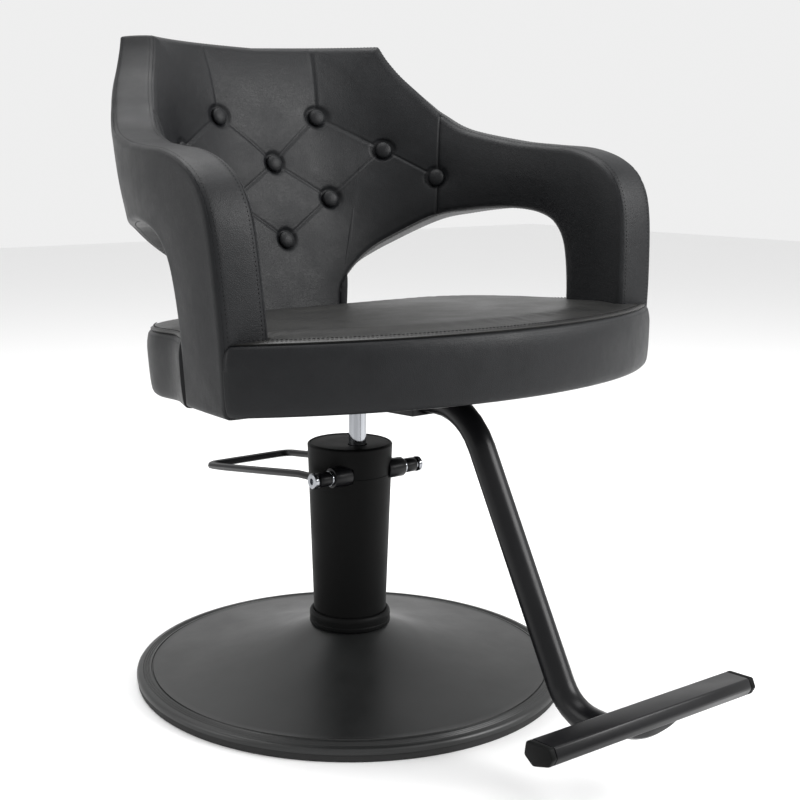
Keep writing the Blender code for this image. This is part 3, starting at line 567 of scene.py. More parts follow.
    def rim(self, points: Sequence[tuple[float, float]], places: Grid, up: float) -> tuple[Grid, Grid]:
        """Points of an edge and the direction out of the shell there, both as (distance, height).

        Args:
            points: the edge.
            places: where along it.
            up: 1 for the high edge, -1 for the low one.

        Returns:
            The points and the unit directions.
        """
        line = self.edge(points, places)
        walk = np.gradient(line, axis=0)
        out = np.stack([-walk[:, 1], walk[:, 0]], axis=1) * up
        return line, out / np.linalg.norm(out, axis=1, keepdims=True)


def distance_to_line(s: Grid, z: Grid, a: Grid, b: Grid) -> tuple[Grid, Grid]:
    """Distance of points to the segment from a to b, and the side of it that they are on."""
    along = b - a
    length = float(along @ along)
    ds, dz = s - a[0], z - a[1]
    f = np.clip((ds * along[0] + dz * along[1]) / length, 0.0, 1.0)
    side = (ds * along[1] - dz * along[0]) / math.sqrt(length)
    return np.hypot(ds - f * along[0], dz - f * along[1]), side


def distance_to_path(s: Grid, z: Grid, path: Grid) -> Grid:
    """Distance of points to a line of many short steps, taken to the nearest of its segments."""
    best = np.full(s.shape, 9.0)
    for a, b in zip(path, path[1:]):
        best = np.minimum(best, distance_to_line(s, z, a, b)[0])
    return best


@dataclass
class Tufting:
    """Relief of the inner face: pillows between buttons, folds from button to button, rolled edges."""

    form: ShellForm
    buttons: dict[str, Grid]
    pillow: float = 0.0085
    fold_depth: float = 0.0020
    fold_width: float = 0.0016
    lap_height: float = 0.0016
    lap_width: float = 0.0090
    edge_roll: float = 0.0045
    edge_radius: float = 0.0075
    seat_height: float = -0.0014
    seat_radius: float = 0.0150
    seam_depth: float = 0.0020
    swollen: Optional[tuple[Grid, Grid, Grid]] = None

    def folds(self) -> list[tuple[Grid, Grid, float]]:
        """Each fold's two ends, and how strongly it is drawn in."""
        pairs = (("row1", "middle_high"), ("row1", "row2"), ("middle_high", "row3"), ("row2", "row3"),
                 ("row2", "wing"), ("row3", "middle_low"))
        made = []
        for side in ("left", "right"):
            for a, b in pairs:
                ends = [self.buttons.get(f"{name}_{side}", self.buttons.get(name)) for name in (a, b)]
                made.append((ends[0], ends[1], 1.0))
            top = self.buttons[f"row1_{side}"]
            lift = self.form.edge(HIGH_EDGE, np.array([0.5]))[0, 1]
            made.append((top, np.array([top[0] * 1.04, lift]), 1.0))
        return made

    def button_distance(self, s: Grid, z: Grid) -> Grid:
        """Distance to the nearest button."""
        return np.min([np.hypot(s - b[0], z - b[1]) for b in self.buttons.values()], axis=0)

    def analytic_swell(self, s: Grid, z: Grid, rim: Grid) -> Grid:
        """Height of the pillows by formula, from the distances to buttons, folds and rim."""
        near = self.button_distance(s, z)
        share = 0.5 * (1 - np.exp(-(near / 0.036) ** 2)) + 0.5 * (1 - np.exp(-(near / 0.016) ** 2))
        for a, b, pull in self.folds():
            gap = distance_to_line(s, z, a, b)[0]
            share = share * (1 - 0.30 * pull * np.exp(-(gap / 0.011) ** 2))
        return self.pillow * share * (1 - np.exp(-(rim / 0.022) ** 1.5))

    def height(self, s: Grid, z: Grid, rim: Grid, swell: Grid) -> Grid:
        """Height of the face towards the sitter.

        Args:
            s: distance along the plan.
            z: height above the floor.
            rim: distance to the face's rim.
            swell: height of the pillows there.

        Returns:
            The height of the face above its plain form.
        """
        rise = swell.copy()
        for a, b, pull in self.folds():
            gap, side = distance_to_line(s, z, a, b)
            turn = 0.5 + 0.5 * np.tanh(side * np.sign(b[0] - a[0] + 1e-9) / 0.0016)
            rise += self.lap_height * pull * turn * np.exp(-gap / self.lap_width)
            rise -= self.fold_depth * pull * np.exp(-(gap / self.fold_width) ** 2)
        seam = np.abs(np.abs(s) - LOW_EDGE[SEAM_PLACE][0])
        rise -= self.seam_depth * np.exp(-(seam / 0.0018) ** 2) + 0.0012 * np.exp(-(seam / 0.010) ** 2)
        near = self.button_distance(s, z)
        under = np.exp(-(near / self.seat_radius) ** 8)
        rise = rise * (1 - under) + self.seat_height * under
        inside = np.clip(1 - rim / self.edge_radius, 0, 1)
        return rise - self.edge_roll * (1 - np.sqrt(np.clip(1 - inside**2, 0, 1)))


def simulate_swell(name: str, points: Grid, faces: Sequence[Sequence[int]], held: Grid, cap: float,
                   pressure: float = 4.0, frames: int = 20) -> Grid:
    """Blow a skin up with the cloth solver, held where it is sewn, and cap how far a point moves.

    Args:
        name: name of the working mesh.
        points: the skin's points.
        faces: its faces, normals out of the padding.
        held: how firmly each point is held, from 0 to 1.
        cap: the furthest that a point may move.
        pressure: pressure behind the skin.
        frames: frames of simulation.

    Returns:
        The points after the simulation.
    """
    skin = from_arrays(name, points, faces)
    group = skin.vertex_groups.new(name="held")
    for level in np.unique(np.round(held, 1)):
        if level > 0:
            chosen = np.nonzero(np.round(held, 1) == level)[0]
            group.add([int(k) for k in chosen], float(level), "REPLACE")
    cloth = skin.modifiers.new("cloth", "CLOTH")
    settings = cloth.settings
    settings.quality = 6
    settings.mass = 0.35
    settings.tension_stiffness = 25.0
    settings.compression_stiffness = 12.0
    settings.shear_stiffness = 8.0
    settings.bending_stiffness = 1.2
    settings.use_pressure = True
    settings.uniform_pressure_force = pressure
    settings.vertex_group_mass = "held"
    settings.pin_stiffness = 2.0
    settings.effector_weights.gravity = 0.0
    cloth.collision_settings.use_collision = False
    cloth.collision_settings.use_self_collision = False
    scene = bpy.context.scene
    cloth.point_cache.frame_start = 1
    cloth.point_cache.frame_end = frames
    for step in range(1, frames + 1):
        scene.frame_set(step)
    shown = skin.evaluated_get(bpy.context.evaluated_depsgraph_get())
    moved = np.empty(len(points) * 3)
    shown.data.vertices.foreach_get("co", moved)
    moved = moved.reshape(-1, 3) - points
    far = np.linalg.norm(moved, axis=1, keepdims=True)
    moved *= np.minimum(1.0, cap / np.maximum(far, 1e-9))
    discard(skin)
    scene.frame_set(1)
    return points + moved


def discard(piece: bpy.types.Object) -> None:
    """Remove a working object and its mesh."""
    data = piece.data
    bpy.data.objects.remove(piece)
    bpy.data.meshes.remove(data)


def grid_faces(columns: int, rows: int, flip: bool = False, wrap: bool = False) -> list[tuple[int, ...]]:
    """Quads of a grid whose points are counted row by row within each column."""
    made = []
    for c in range(columns - 1):
        for r in range(rows if wrap else rows - 1):
            up = (r + 1) % rows
            quad = (c * rows + r, (c + 1) * rows + r, (c + 1) * rows + up, c * rows + up)
            made.append(quad[::-1] if flip else quad)
    return made


def closed_strip(name: str, sections: Grid, angle: float = 180.0) -> bpy.types.Object:
    """Join a row of closed sections into one closed piece with filled ends.

    Args:
        name: the piece's name.
        sections: points by section, place in the section, and axis.
        angle: edges sharper than this, in degrees, stay sharp.

    Returns:
        The piece, its normals outwards.
    """
    count, around = sections.shape[:2]
    faces: list[tuple[int, ...]] = grid_faces(count, around, wrap=True)
    faces.append(tuple(range(around))[::-1])
    faces.append(tuple(range((count - 1) * around, count * around)))
    piece = from_arrays(name, sections.reshape(-1, 3), faces, angle)
    face_outwards(piece)
    return piece


def bilinear(places: Grid, across: Grid, field_at: tuple[Grid, Grid, Grid]) -> Grid:
    """Read a coarse field at finer places and rows."""
    coarse_places, coarse_rows, values = field_at
    wide = np.stack([np.interp(across, coarse_rows, column) for column in values])
    return np.stack([np.interp(places, coarse_places, wide[:, r]) for r in range(len(across))], axis=1)


@dataclass
class Upholstery:
    """The shell's upholstery: padded panels inside and outside, the bands round its edges, and the thread."""

    form: ShellForm
    tufting: Tufting
    pad_depth: float = 0.0275
    cover_depth: float = 0.0415
    tuck: float = 0.0026
    seam_depth: float = 0.0045
    lip_depth: float = 0.0085
    back_pitch: float = 0.0018
    arm_pitch: float = 0.0032
    sim_pitch: float = 0.0065
    sim_rows: int = 62
    stitch_pitch: float = 0.0050
    stitch_inset: float = 0.0046
    core_depths: tuple[float, float] = (0.0285, 0.0405)
    core_inset: float = 0.0060
    core_rows: int = 14
    sim_share: float = 0.4
    sim_reach: float = 0.0105
    sim_passes: int = 3

    def rim_path(self) -> Grid:
        """The whole rim as one line of (distance, height) points."""
        places = self.form.stations(-FOOT, FOOT, 0.012)
        low = self.form.edge(LOW_EDGE, places)
        high = self.form.edge(HIGH_EDGE, places)
        return np.concatenate([low, high[::-1], low[:1]])

    def swell_field(self) -> tuple[Grid, Grid, Grid]:
        places = self.form.stations(-FOOT, FOOT, self.sim_pitch)
        rows = np.linspace(0, 1, self.sim_rows)
        s, z = self.form.grid(places, self.sim_rows)
        rim = distance_to_path(s, z, self.rim_path())
        swell = self.tufting.analytic_swell(s, z, rim)
        start = self.form.point(s, z, -0.35 * swell)
        count = start.shape[0] * start.shape[1]
        held = np.exp(-(rim / 0.010) ** 2)
        held = np.maximum(held, np.exp(-(self.tufting.button_distance(s, z) / 0.012) ** 4))
        for a, b, pull in self.tufting.folds():
            gap = distance_to_line(s, z, a, b)[0]
            held = np.maximum(held, 0.5 * np.exp(-(gap / 0.006) ** 2))
        seam = np.abs(np.abs(s) - LOW_EDGE[SEAM_PLACE][0])
        held = np.maximum(held, 0.9 * np.exp(-(seam / 0.005) ** 2))
        faces = grid_faces(s.shape[0], s.shape[1], flip=True)
        moved = simulate_swell("face_skin", start.reshape(count, 3), faces, held.reshape(count), 0.008)
        plain = self.form.point(s, z, 0.0)
        towards = self.form.point(s, z, -0.01) - plain
        towards /= np.linalg.norm(towards, axis=-1, keepdims=True)
        blown = ((moved.reshape(start.shape) - plain) * towards).sum(-1)
        blown = np.clip(blown, 0.0, self.sim_reach)
        for _ in range(self.sim_passes):
            around = blown[:-2, 1:-1] + blown[2:, 1:-1] + blown[1:-1, :-2] + blown[1:-1, 2:]
            blown[1:-1, 1:-1] = (2 * blown[1:-1, 1:-1] + around) / 6
        swell = (1 - self.sim_share) * swell + self.sim_share * blown
        return places, rows, swell

    def panel(self, name: str, start: float, end: float, pitch: float, rows: int,
              face: Callable[[Grid, Grid, Grid, Grid], Grid], lip: float, back: float) -> bpy.types.Object:
        """A closed padded panel over a stretch of the shell.

        Args:
            name: the piece's name.
            start: first place.
            end: last place.
            pitch: step along the shell.
            rows: points across it.
            face: depth of the shown face from places, distance, height and distance to the rim.
            lip: depth of the turned-in lip.
            back: depth of its flat side.

        Returns:
            The panel.
        """
        places = self.form.stations(start, end, pitch)
        s, z = self.form.grid(places, rows)
        rim = distance_to_path(s, z, self.rim_path())
        front = self.form.layer(s, z, face(places, s, z, rim), np.linspace(0, 1, rows)[None, :])
        rings = [front]
        for points, up, order in ((HIGH_EDGE, 1, (lip, back)), (LOW_EDGE, -1, (back, lip))):
            line, out = self.form.rim(points, places, up)
            inner = line - out * self.tuck
            for depth in order:
                ring = self.form.layer(inner[:, 0], inner[:, 1], np.full(len(places), depth), max(up, 0))
                rings.append(ring[:, None, :])
        whole = np.concatenate(rings, axis=1)
        return closed_strip(name, whole, 60.0)

    def inner_face(self, places: Grid, s: Grid, z: Grid, rim: Grid) -> Grid:
        """Depth of the inner face."""
        across = np.linspace(0, 1, s.shape[1])
        swell = bilinear(places, across, self.tufting.swollen)
        return -self.tufting.height(s, z, rim, swell)

    def outer_face(self, places: Grid, s: Grid, z: Grid, rim: Grid) -> Grid:
        """Depth of the outer face: nearly plain, a little full in the middle."""
        inside = np.clip(1 - rim / self.tufting.edge_radius, 0, 1)
        roll = self.tufting.edge_roll * (1 - np.sqrt(1 - inside**2))
        full = 0.0022 * (1 - np.exp(-(rim / 0.030) ** 2))
        return self.form.thickness - roll + full

    def core(self) -> bpy.types.Object:
        """The bent ply between pads and cover, set in from both edges so that the bands cover it."""
        places = self.form.stations(-FOOT + 0.05, FOOT - 0.05, 0.008)
        low, high = (line - out * self.core_inset for line, out in (
            self.form.rim(LOW_EDGE, places, -1), self.form.rim(HIGH_EDGE, places, 1)))
        across = np.linspace(0, 1, self.core_rows)
        both = low[:, None] * (1 - across[:, None]) + high[:, None] * across[:, None]
        inner, outer = (
            self.form.layer(both[..., 0], both[..., 1], np.full(both.shape[:2], depth), across[None, :])
            for depth in self.core_depths)
        return closed_strip("ply_core", np.concatenate([inner, outer[:, ::-1]], axis=1), 30.0)

    def band(self, name: str, points: Sequence[tuple[float, float]], up: float) -> bpy.types.Object:
        """The strip of cloth along one edge, from the inner seam to the outer one."""
        places = self.form.stations(-FOOT, FOOT, 0.0035)
        line, out = self.form.rim(points, places, up)
        deep = self.form.thickness - self.seam_depth
        section = ((-0.0022, self.seam_depth + 0.0012), (-0.0002, self.seam_depth + 0.0002),
                   (0.0011, self.seam_depth + 0.0022), (0.0017, 0.0145), (0.0020, 0.023), (0.0021, 0.032),
                   (0.0020, 0.041), (0.0017, 0.0495), (0.0011, deep - 0.0022), (-0.0002, deep - 0.0002),
                   (-0.0022, deep - 0.0012))
        rings = []
        for offset, depth in section:
            place = line + out * offset
            rings.append(self.form.layer(place[:, 0], place[:, 1], np.full(len(places), depth), max(up, 0)))
        whole = np.stack(rings, axis=1)
        return closed_strip(name, whole, 50.0)

    def band_stitches(self) -> bpy.types.Object:
        """Two rows of stitches on each band, close to its two seams."""
        lines = []
        for points, up in ((HIGH_EDGE, 1), (LOW_EDGE, -1)):
            places = self.form.stations(-FOOT + 0.02, FOOT - 0.02, 0.002)
            line, out = self.form.rim(points, places, up)
            for inset in (self.stitch_inset, self.form.thickness - self.seam_depth * 2 - self.stitch_inset):
                depth = np.full(len(places), self.seam_depth + inset)
                low = line + out * 0.0013
                high = line + out * 0.0060
                place = self.form.layer(low[:, 0], low[:, 1], depth, max(up, 0))
                above = self.form.layer(high[:, 0], high[:, 1], depth, max(up, 0))
                keep = line[:, 1] > 0.518
                keep &= ~((np.abs(line[:, 0]) < 0.0835) & (line[:, 1] < 0.53))
                lines += split_runs(place, above - place, keep)
        return stitches("band_stitches", lines, self.stitch_pitch)

    def build(self) -> None:
        """Build the shell's panels, bands and thread."""
        self.tufting.swollen = self.swell_field()
        cloth = (Body.SEAT, Slot.VINYL, UPHOLSTERY)
        back = self.panel("back_upholstery", -SEAM_PLACE, SEAM_PLACE, self.back_pitch, 236, self.inner_face,
                          self.lip_depth, self.pad_depth)
        mount(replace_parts(back, "back_pad"), *cloth)
        for label, start, end in (("right", -FOOT, -SEAM_PLACE - 0.01), ("left", SEAM_PLACE + 0.01, FOOT)):
            arm = self.panel(f"arm_upholstery_{label}", start, end, self.arm_pitch, 60, self.inner_face,
                             self.lip_depth, self.pad_depth)
            mount(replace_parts(arm, f"arm_pad_{label}"), *cloth)
        cover = self.panel("outer_upholstery", -FOOT, FOOT, 0.0045, 64, self.outer_face,
                           self.form.thickness - self.lip_depth, self.cover_depth)
        mount(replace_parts(cover, "shell_cover"), *cloth)
        mount(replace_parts(self.core(), "shell_core"), Body.SEAT, Slot.PLYWOOD, BEECH_PLY)
        mount(self.band("top_edge_band", HIGH_EDGE, 1), *cloth)
        mount(self.band("opening_edge_band", LOW_EDGE, -1), *cloth)
        mount(self.band_stitches(), Body.SEAT, Slot.VINYL, THREAD)


def split_runs(place: Grid, normal: Grid, keep: Grid) -> list[tuple[Grid, Grid]]:
    """Cut a line into the stretches where keep is true."""
    made = []
    marks = np.flatnonzero(np.diff(np.concatenate([[0], keep.astype(int), [0]])))
    for start, end in zip(marks[::2], marks[1::2]):
        if end - start > 3:
            made.append((place[start:end], normal[start:end]))
    return made


def stitch_template() -> tuple[Grid, list[tuple[int, ...]]]:
    """One stitch along X: a six-sided bar with drawn-in ends, as points and faces."""
    bpy.ops.object.select_all(action="DESELECT")
    bpy.ops.mesh.primitive_cylinder_add(vertices=6, radius=0.5, depth=1.0, end_fill_type="NGON",
                                        rotation=(0, math.radians(90), 0), enter_editmode=True)
    bpy.ops.mesh.select_all(action="SELECT")
    bpy.ops.mesh.subdivide(number_cuts=1)
    bpy.ops.object.mode_set(mode="OBJECT")
    bar = bpy.context.object
    bpy.ops.object.transform_apply(location=True, rotation=True, scale=True)
    points = np.array([v.co for v in bar.data.vertices])
    faces = [tuple(f.vertices) for f in bar.data.polygons]
    slim = 1 - 0.55 * np.clip(np.abs(points[:, 0]) * 2, 0, 1) ** 2
    points[:, 1] *= slim
    points[:, 2] = points[:, 2] * slim - 0.35 * np.clip(np.abs(points[:, 0]) * 2, 0, 1) ** 2
    discard(bar)
    return points, faces


def stitches(name: str, lines: Iterable[tuple[Grid, Grid]], pitch: float, length: float = 0.0036,
             thick: float = 0.0012) -> bpy.types.Object:
    """Rows of stitches as one mesh.

    Args:
        name: the piece's name.
        lines: for each row, its points and the directions out of the cloth there.
        pitch: distance from stitch to stitch.
        length: length of a stitch.
        thick: thickness of the thread.

    Returns:
        The stitches.
    """
    template, template_faces = stitch_template()
    points = []
    faces: list[tuple[int, ...]] = []
    for place, normal in lines:
        run = np.concatenate([[0.0], np.cumsum(np.linalg.norm(np.diff(place, axis=0), axis=1))])
        for middle in np.arange(pitch / 2, run[-1] - pitch / 2, pitch):
            ends = [np.array([np.interp(middle + half, run, place[:, k]) for k in range(3)])
                    for half in (-length / 2, length / 2)]
            up = np.array([np.interp(middle, run, normal[:, k]) for k in range(3)])
            along = ends[1] - ends[0]
            along /= np.linalg.norm(along)
            up -= along * (up @ along)
            up /= np.linalg.norm(up)
            frame_of = np.stack([along * length, np.cross(up, along) * thick, up * thick])
            first = len(points) * len(template)
            points.append(template @ frame_of + (ends[0] + ends[1]) / 2)
            faces += [tuple(first + k for k in face) for face in template_faces]
    return from_arrays(name, np.concatenate(points), faces, 70.0)


@dataclass
class Buttons:
    """Ten covered buttons, one modelled and copied to each place."""

    form: ShellForm
    count: int = 10
    radius: float = 0.0124
    height: float = 0.0074
    sunk: float = 0.66
    names: tuple[str, ...] = (
        "row1_right", "row1_left", "middle_high", "row2_right", "row2_left", "row3_right", "row3_left",
        "wing_right", "wing_left", "middle_low")

    def places(self) -> dict[str, Grid]:
        """Distance and height of each button on the shell, read from the frame's nodes."""
        found = {}
        run = np.linspace(-0.26, 0.26, 2081)
        for k, name in enumerate(self.names):
            low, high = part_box(f"button_{k + 1:02d}")
            middle = np.array((low + high) / 2)
            line = self.form.point(run, np.full(run.shape, middle[2]), np.full(run.shape, -0.006))
            nearest = int(np.argmin(np.linalg.norm(line - middle, axis=1)))
            found[name] = np.array([run[nearest], middle[2]])
        return found

    def model(self) -> bpy.types.Object:
        """Model one button: a flattened dome with a rolled rim and the cloth's gathers round it."""
        bpy.ops.object.select_all(action="DESELECT")
        bpy.ops.mesh.primitive_uv_sphere_add(segments=40, ring_count=20, radius=self.radius,
                                             enter_editmode=True)
        bpy.ops.mesh.select_all(action="SELECT")
        bpy.ops.mesh.bisect(plane_co=(0, 0, -0.30 * self.radius), plane_no=(0, 0, 1), clear_inner=True,
                            use_fill=True)
        bpy.ops.mesh.select_all(action="SELECT")
        bpy.ops.transform.resize(value=(1, 1, self.height / (1.3 * self.radius)), center_override=(0, 0, 0))
        bpy.ops.object.mode_set(mode="OBJECT")
        button = bpy.context.object
        low = min(v.co.z for v in button.data.vertices)
        for vert in button.data.vertices:
            vert.co.z -= low
            wide = math.hypot(vert.co.x, vert.co.y) / self.radius
            turn = math.atan2(vert.co.y, vert.co.x)
            gather = 0.018 * max(0.0, wide - 0.55) * (math.sin(11 * turn) + 0.6 * math.sin(17 * turn + 1.0))
            vert.co.x *= 1 + gather
            vert.co.y *= 1 + gather
        return button

    def build(self) -> None:
        """Copy the button to every place, turned to face out of the shell."""
        first = self.model()
        for k, (name, place) in enumerate(self.places().items()):
            s, z = place
            node = f"button_{k + 1:02d}"
            low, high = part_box(node)
            face = Vector(self.form.point(s, z, 0.0))
            side = Vector(self.form.point(s + 0.002, z, 0.0)) - Vector(self.form.point(s - 0.002, z, 0.0))
            rise = Vector(self.form.point(s, z + 0.002, 0.0)) - Vector(self.form.point(s, z - 0.002, 0.0))
            normal = side.cross(rise).normalized()
            if normal.dot(Vector(self.form.point(s, z, -0.01)) - face) < 0:
                normal.negate()
            turned = normal.to_track_quat("Z", "Y").to_matrix().to_4x4()
            piece = bpy.data.objects.new("button", first.data.copy())
            bpy.context.scene.collection.objects.link(piece)
            centre = (low + high) / 2
            piece.matrix_world = Matrix.Translation(centre - normal * self.height * self.sunk) @ turned
            settle(piece, f"covered_button_{k + 1:02d}", 60.0)
            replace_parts(piece, node)
            mount(piece, Body.SEAT, Slot.VINYL, UPHOLSTERY)
        discard(first)


# ---- the seat ----
@dataclass
class Seat:
    """The seat cushion: a boxed cushion with a topstitched seam, on a tilted board."""

    form: ShellForm
    tilt: float = math.radians(2.8)
    pivot_z: float = 0.4305
    axis_y: float = -0.0176
    half: float = 0.341
    front_r: float = 0.517
    front_y: float = -0.362
    rear_y: float = 0.105
    rear_r: float = 0.150
    rear_half: float = 0.312
    seam_height: float = 0.0805
    crown: float = 0.0012
    points_round: int = 300
    centre_y: float = -0.115

    def matrix(self) -> Grid:
        """Frame of the tilted seat, above the lifting rod."""
        pivot = Matrix.Translation((0, self.axis_y, self.pivot_z))
        return np.array(pivot @ Matrix.Rotation(-self.tilt, 4, "X"))

    def outline(self, inset: float) -> Grid:
        """Plan of the seat at an inset, as evenly spaced points from the middle of the front."""
        half = self.half - inset
        rear = self.rear_half - inset
        arc = self.front_r - inset
        angles = np.linspace(0, math.asin((half - 0.004) / arc), 24)
        right = [np.stack([arc * np.sin(angles), self.front_y + self.front_r - arc * np.cos(angles)], 1)]
        last = right[0][-1, 1]
        right.append(np.array([[half, last + 0.010], [half - 0.006, -0.130], [rear, -0.070]]))
        corner = self.rear_r - inset
        angles = np.radians(np.linspace(9, 90, 10))
        right.append(np.stack([rear - corner + corner * np.cos(angles),
                               self.rear_y - self.rear_r + corner * np.sin(angles)], 1))
        side = np.concatenate(right)
        loop = np.concatenate([side, side[::-1] * np.array([-1, 1])])
        run = np.concatenate([[0.0], np.cumsum(np.hypot(*np.diff(loop, axis=0).T))])
        even = np.linspace(0, run[-1], self.points_round, endpoint=False)
        made = np.stack([np.interp(even, run, loop[:, 0]), np.interp(even, run, loop[:, 1])], 1)
        for _ in range(3):
            made = (np.roll(made, 1, 0) + 2 * made + np.roll(made, -1, 0)) / 4
        return made

    def sections(self) -> list[tuple[float, float]]:
        """Inset and height of the cushion's side, from the pocket under it over the seam to the top panel."""
        seam = self.seam_height
        side = [(0.0300, 0.0130), (0.0300, 0.0010), (0.0200, 0.0), (0.0120, 0.0002), (0.0080, 0.0012),
                (0.0055, 0.0034), (0.0040, 0.0068), (0.0030, 0.0120), (0.0021, 0.0200), (0.0013, 0.0300),
                (0.0007, 0.0410), (0.0002, 0.0520), (0.0, 0.0600), (0.0004, 0.0665), (0.0012, 0.0715),
                (0.0022, 0.0755), (0.0034, 0.0780)]
        top = [(0.0066, seam), (0.0052, seam + 0.0020), (0.0060, seam + 0.0036), (0.0085, seam + 0.0049),
               (0.0125, seam + 0.0056), (0.0180, seam + 0.0061), (0.0240, seam + 0.0064),
               (0.0310, seam + 0.0066), (0.0400, seam + 0.0068)]
        return side + [(0.0045, seam - 0.0012)] + top

    def shape(self) -> tuple[Grid, list[tuple[int, ...]], Grid]:
        """Points, faces and firmness of hold of the cushion, in the tilted seat's frame."""
        rings = []
        held = []
        sections = self.sections()
        for inset, height in sections:
            ring = self.outline(inset)
            rings.append(np.column_stack([ring, np.full(len(ring), height)]))
            held.append(np.full(len(ring), 1.0 if height <= self.seam_height + 0.003 else 0.3))
        edge = rings[-1]
        centre = np.array([0.0, self.centre_y, 0.0])
        base = sections[-1][1]
        shares = np.linspace(1, 0, 34)[1:-1]
        for share in shares:
            ring = centre + (edge - centre) * share
            ring[:, 2] = base + self.crown * (1 - share**2)
            rings.append(ring)
            held.append(np.zeros(len(ring)))
        count = len(rings[0])
        faces = grid_faces(len(rings), count, flip=True, wrap=True)
        points = np.concatenate(rings + [[[0.0, self.centre_y, base + self.crown]]])
        pole = len(points) - 1
        first = (len(rings) - 1) * count
        faces += [(first + k, first + (k + 1) % count, pole) for k in range(count)]
        faces.append(tuple(range(count))[::-1])
        return points, faces, np.concatenate(held + [[0.0]])

    def to_frame(self, points: Grid) -> Grid:
        """Move points from the tilted seat's frame into the object's."""
        shifted = points - np.array([0.0, self.axis_y, 0.0])
        matrix = self.matrix()
        return shifted @ matrix[:3, :3].T + matrix[:3, 3]

    def above_board(self, points: Grid) -> Grid:
        """Height of points above the underside of the tilted seat."""
        matrix = self.matrix()
        return (points - matrix[:3, 3]) @ matrix[:3, 2]

    def pinch(self, points: Grid) -> Grid:
        """Draw the top down where it meets the arms' legs."""
        leg = []
        for side in (-1, 1):
            for s in np.linspace(LOW_EDGE[FOOT][0], HIGH_EDGE[FOOT][0], 14):
                leg.append(self.form.point(side * s, 0.525, 0.0)[:2])
            for depth in np.linspace(0, self.form.thickness, 8):
                leg.append(self.form.point(side * LOW_EDGE[FOOT][0], 0.525, depth)[:2])
                leg.append(self.form.point(side * HIGH_EDGE[FOOT][0], 0.525, depth)[:2])
        near = np.full(len(points), 9.0)
        for spot in leg:
            near = np.minimum(near, np.hypot(points[:, 0] - spot[0], points[:, 1] - spot[1]))
        top = np.clip((self.above_board(points) - self.seam_height) / 0.006, 0, 1)
        points[:, 2] -= 0.0055 * np.exp(-(near / 0.012) ** 1.3) * top
        return points

    def build(self) -> None:
        """Build the cushion and its thread."""
        points, faces, held = self.shape()
        points = simulate_swell("seat_skin", points, faces, held, 0.0035)
        points = self.pinch(self.to_frame(points))
        cushion = from_arrays("seat_upholstery", points, faces, 70.0)
        face_outwards(cushion)
        self.make_leg_room(cushion)
        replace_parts(cushion, "seat_cushion")
        mount(cushion, Body.SEAT, Slot.VINYL, UPHOLSTERY)
        # The seat's top panel gets painted light: a lighter, shinier copy of the vinyl.
        self.paint_lit_seat_top(cushion)
        lines = []
        for inset, height, up in ((0.0030, self.seam_height - 0.0048, (0.9, 0.3)),
                                  (0.0098, self.seam_height + 0.0052, (0.5, 0.9))):
            ring = np.vstack([self.outline(inset), self.outline(inset)[:1]])
            place = self.to_frame(np.column_stack([ring, np.full(len(ring), height)]))
            out = self.to_frame(np.column_stack([self.outline(inset - 0.01), np.full(len(ring) - 1, height)]))
            out = np.vstack([out, out[:1]]) - place
            out = out / np.linalg.norm(out, axis=1, keepdims=True) * up[0] + np.array([0, 0, up[1]])
            keep = ring[:, 1] < 0.05
            lines += split_runs(place + out * 0.0004, out, self.outside_legs(place) & keep)
        mount(stitches("seat_stitches", lines, 0.0050), Body.SEAT, Slot.VINYL, THREAD)

    def outside_legs(self, points: Grid) -> Grid:
        """True for points that aren't inside an arm's leg."""
        inside = np.zeros(len(points), bool)
        for s in np.linspace(LOW_EDGE[FOOT][0], HIGH_EDGE[FOOT][0], 12):
            for depth in np.linspace(0, self.form.thickness, 8):
                for side in (-1, 1):
                    spot = self.form.point(side * s, 0.52, depth)
                    inside |= np.hypot(points[:, 0] - spot[0], points[:, 1] - spot[1]) < 0.0065
        return ~inside

    def make_leg_room(self, cushion: bpy.types.Object) -> None:
        """Cut the two notches that the arms' legs stand in."""
        for side in (-1, 1):
            s = np.linspace(LOW_EDGE[FOOT][0] - 0.0025, HIGH_EDGE[FOOT][0] + 0.0030, 7) * side
            block = []
            for z, depth in ((0.38, -0.0008), (0.60, -0.0008), (0.60, 0.078), (0.38, 0.078)):
                block.append(self.form.point(s, np.full(7, z), np.full(7, depth)))
            cut_away(cushion, closed_strip("leg_room", np.stack(block, axis=1)))

    def paint_lit_seat_top(self, cushion: bpy.types.Object) -> None:
        """Give the top panel a lighter, shinier copy of the cloth, a little smoother: painted light from
        above.
        """
        # Lighter, shinier copy of the vinyl for the upward faces: painted light from above.
        cushion.data.materials.append(SEAT_TOP_LIT_VINYL.material())
        middles = np.empty(len(cushion.data.polygons) * 3)
        cushion.data.polygons.foreach_get("center", middles)
        for face, height in zip(cushion.data.polygons, self.above_board(middles.reshape(-1, 3))):
            if height > self.seam_height + 0.0005:
                face.material_index = 1


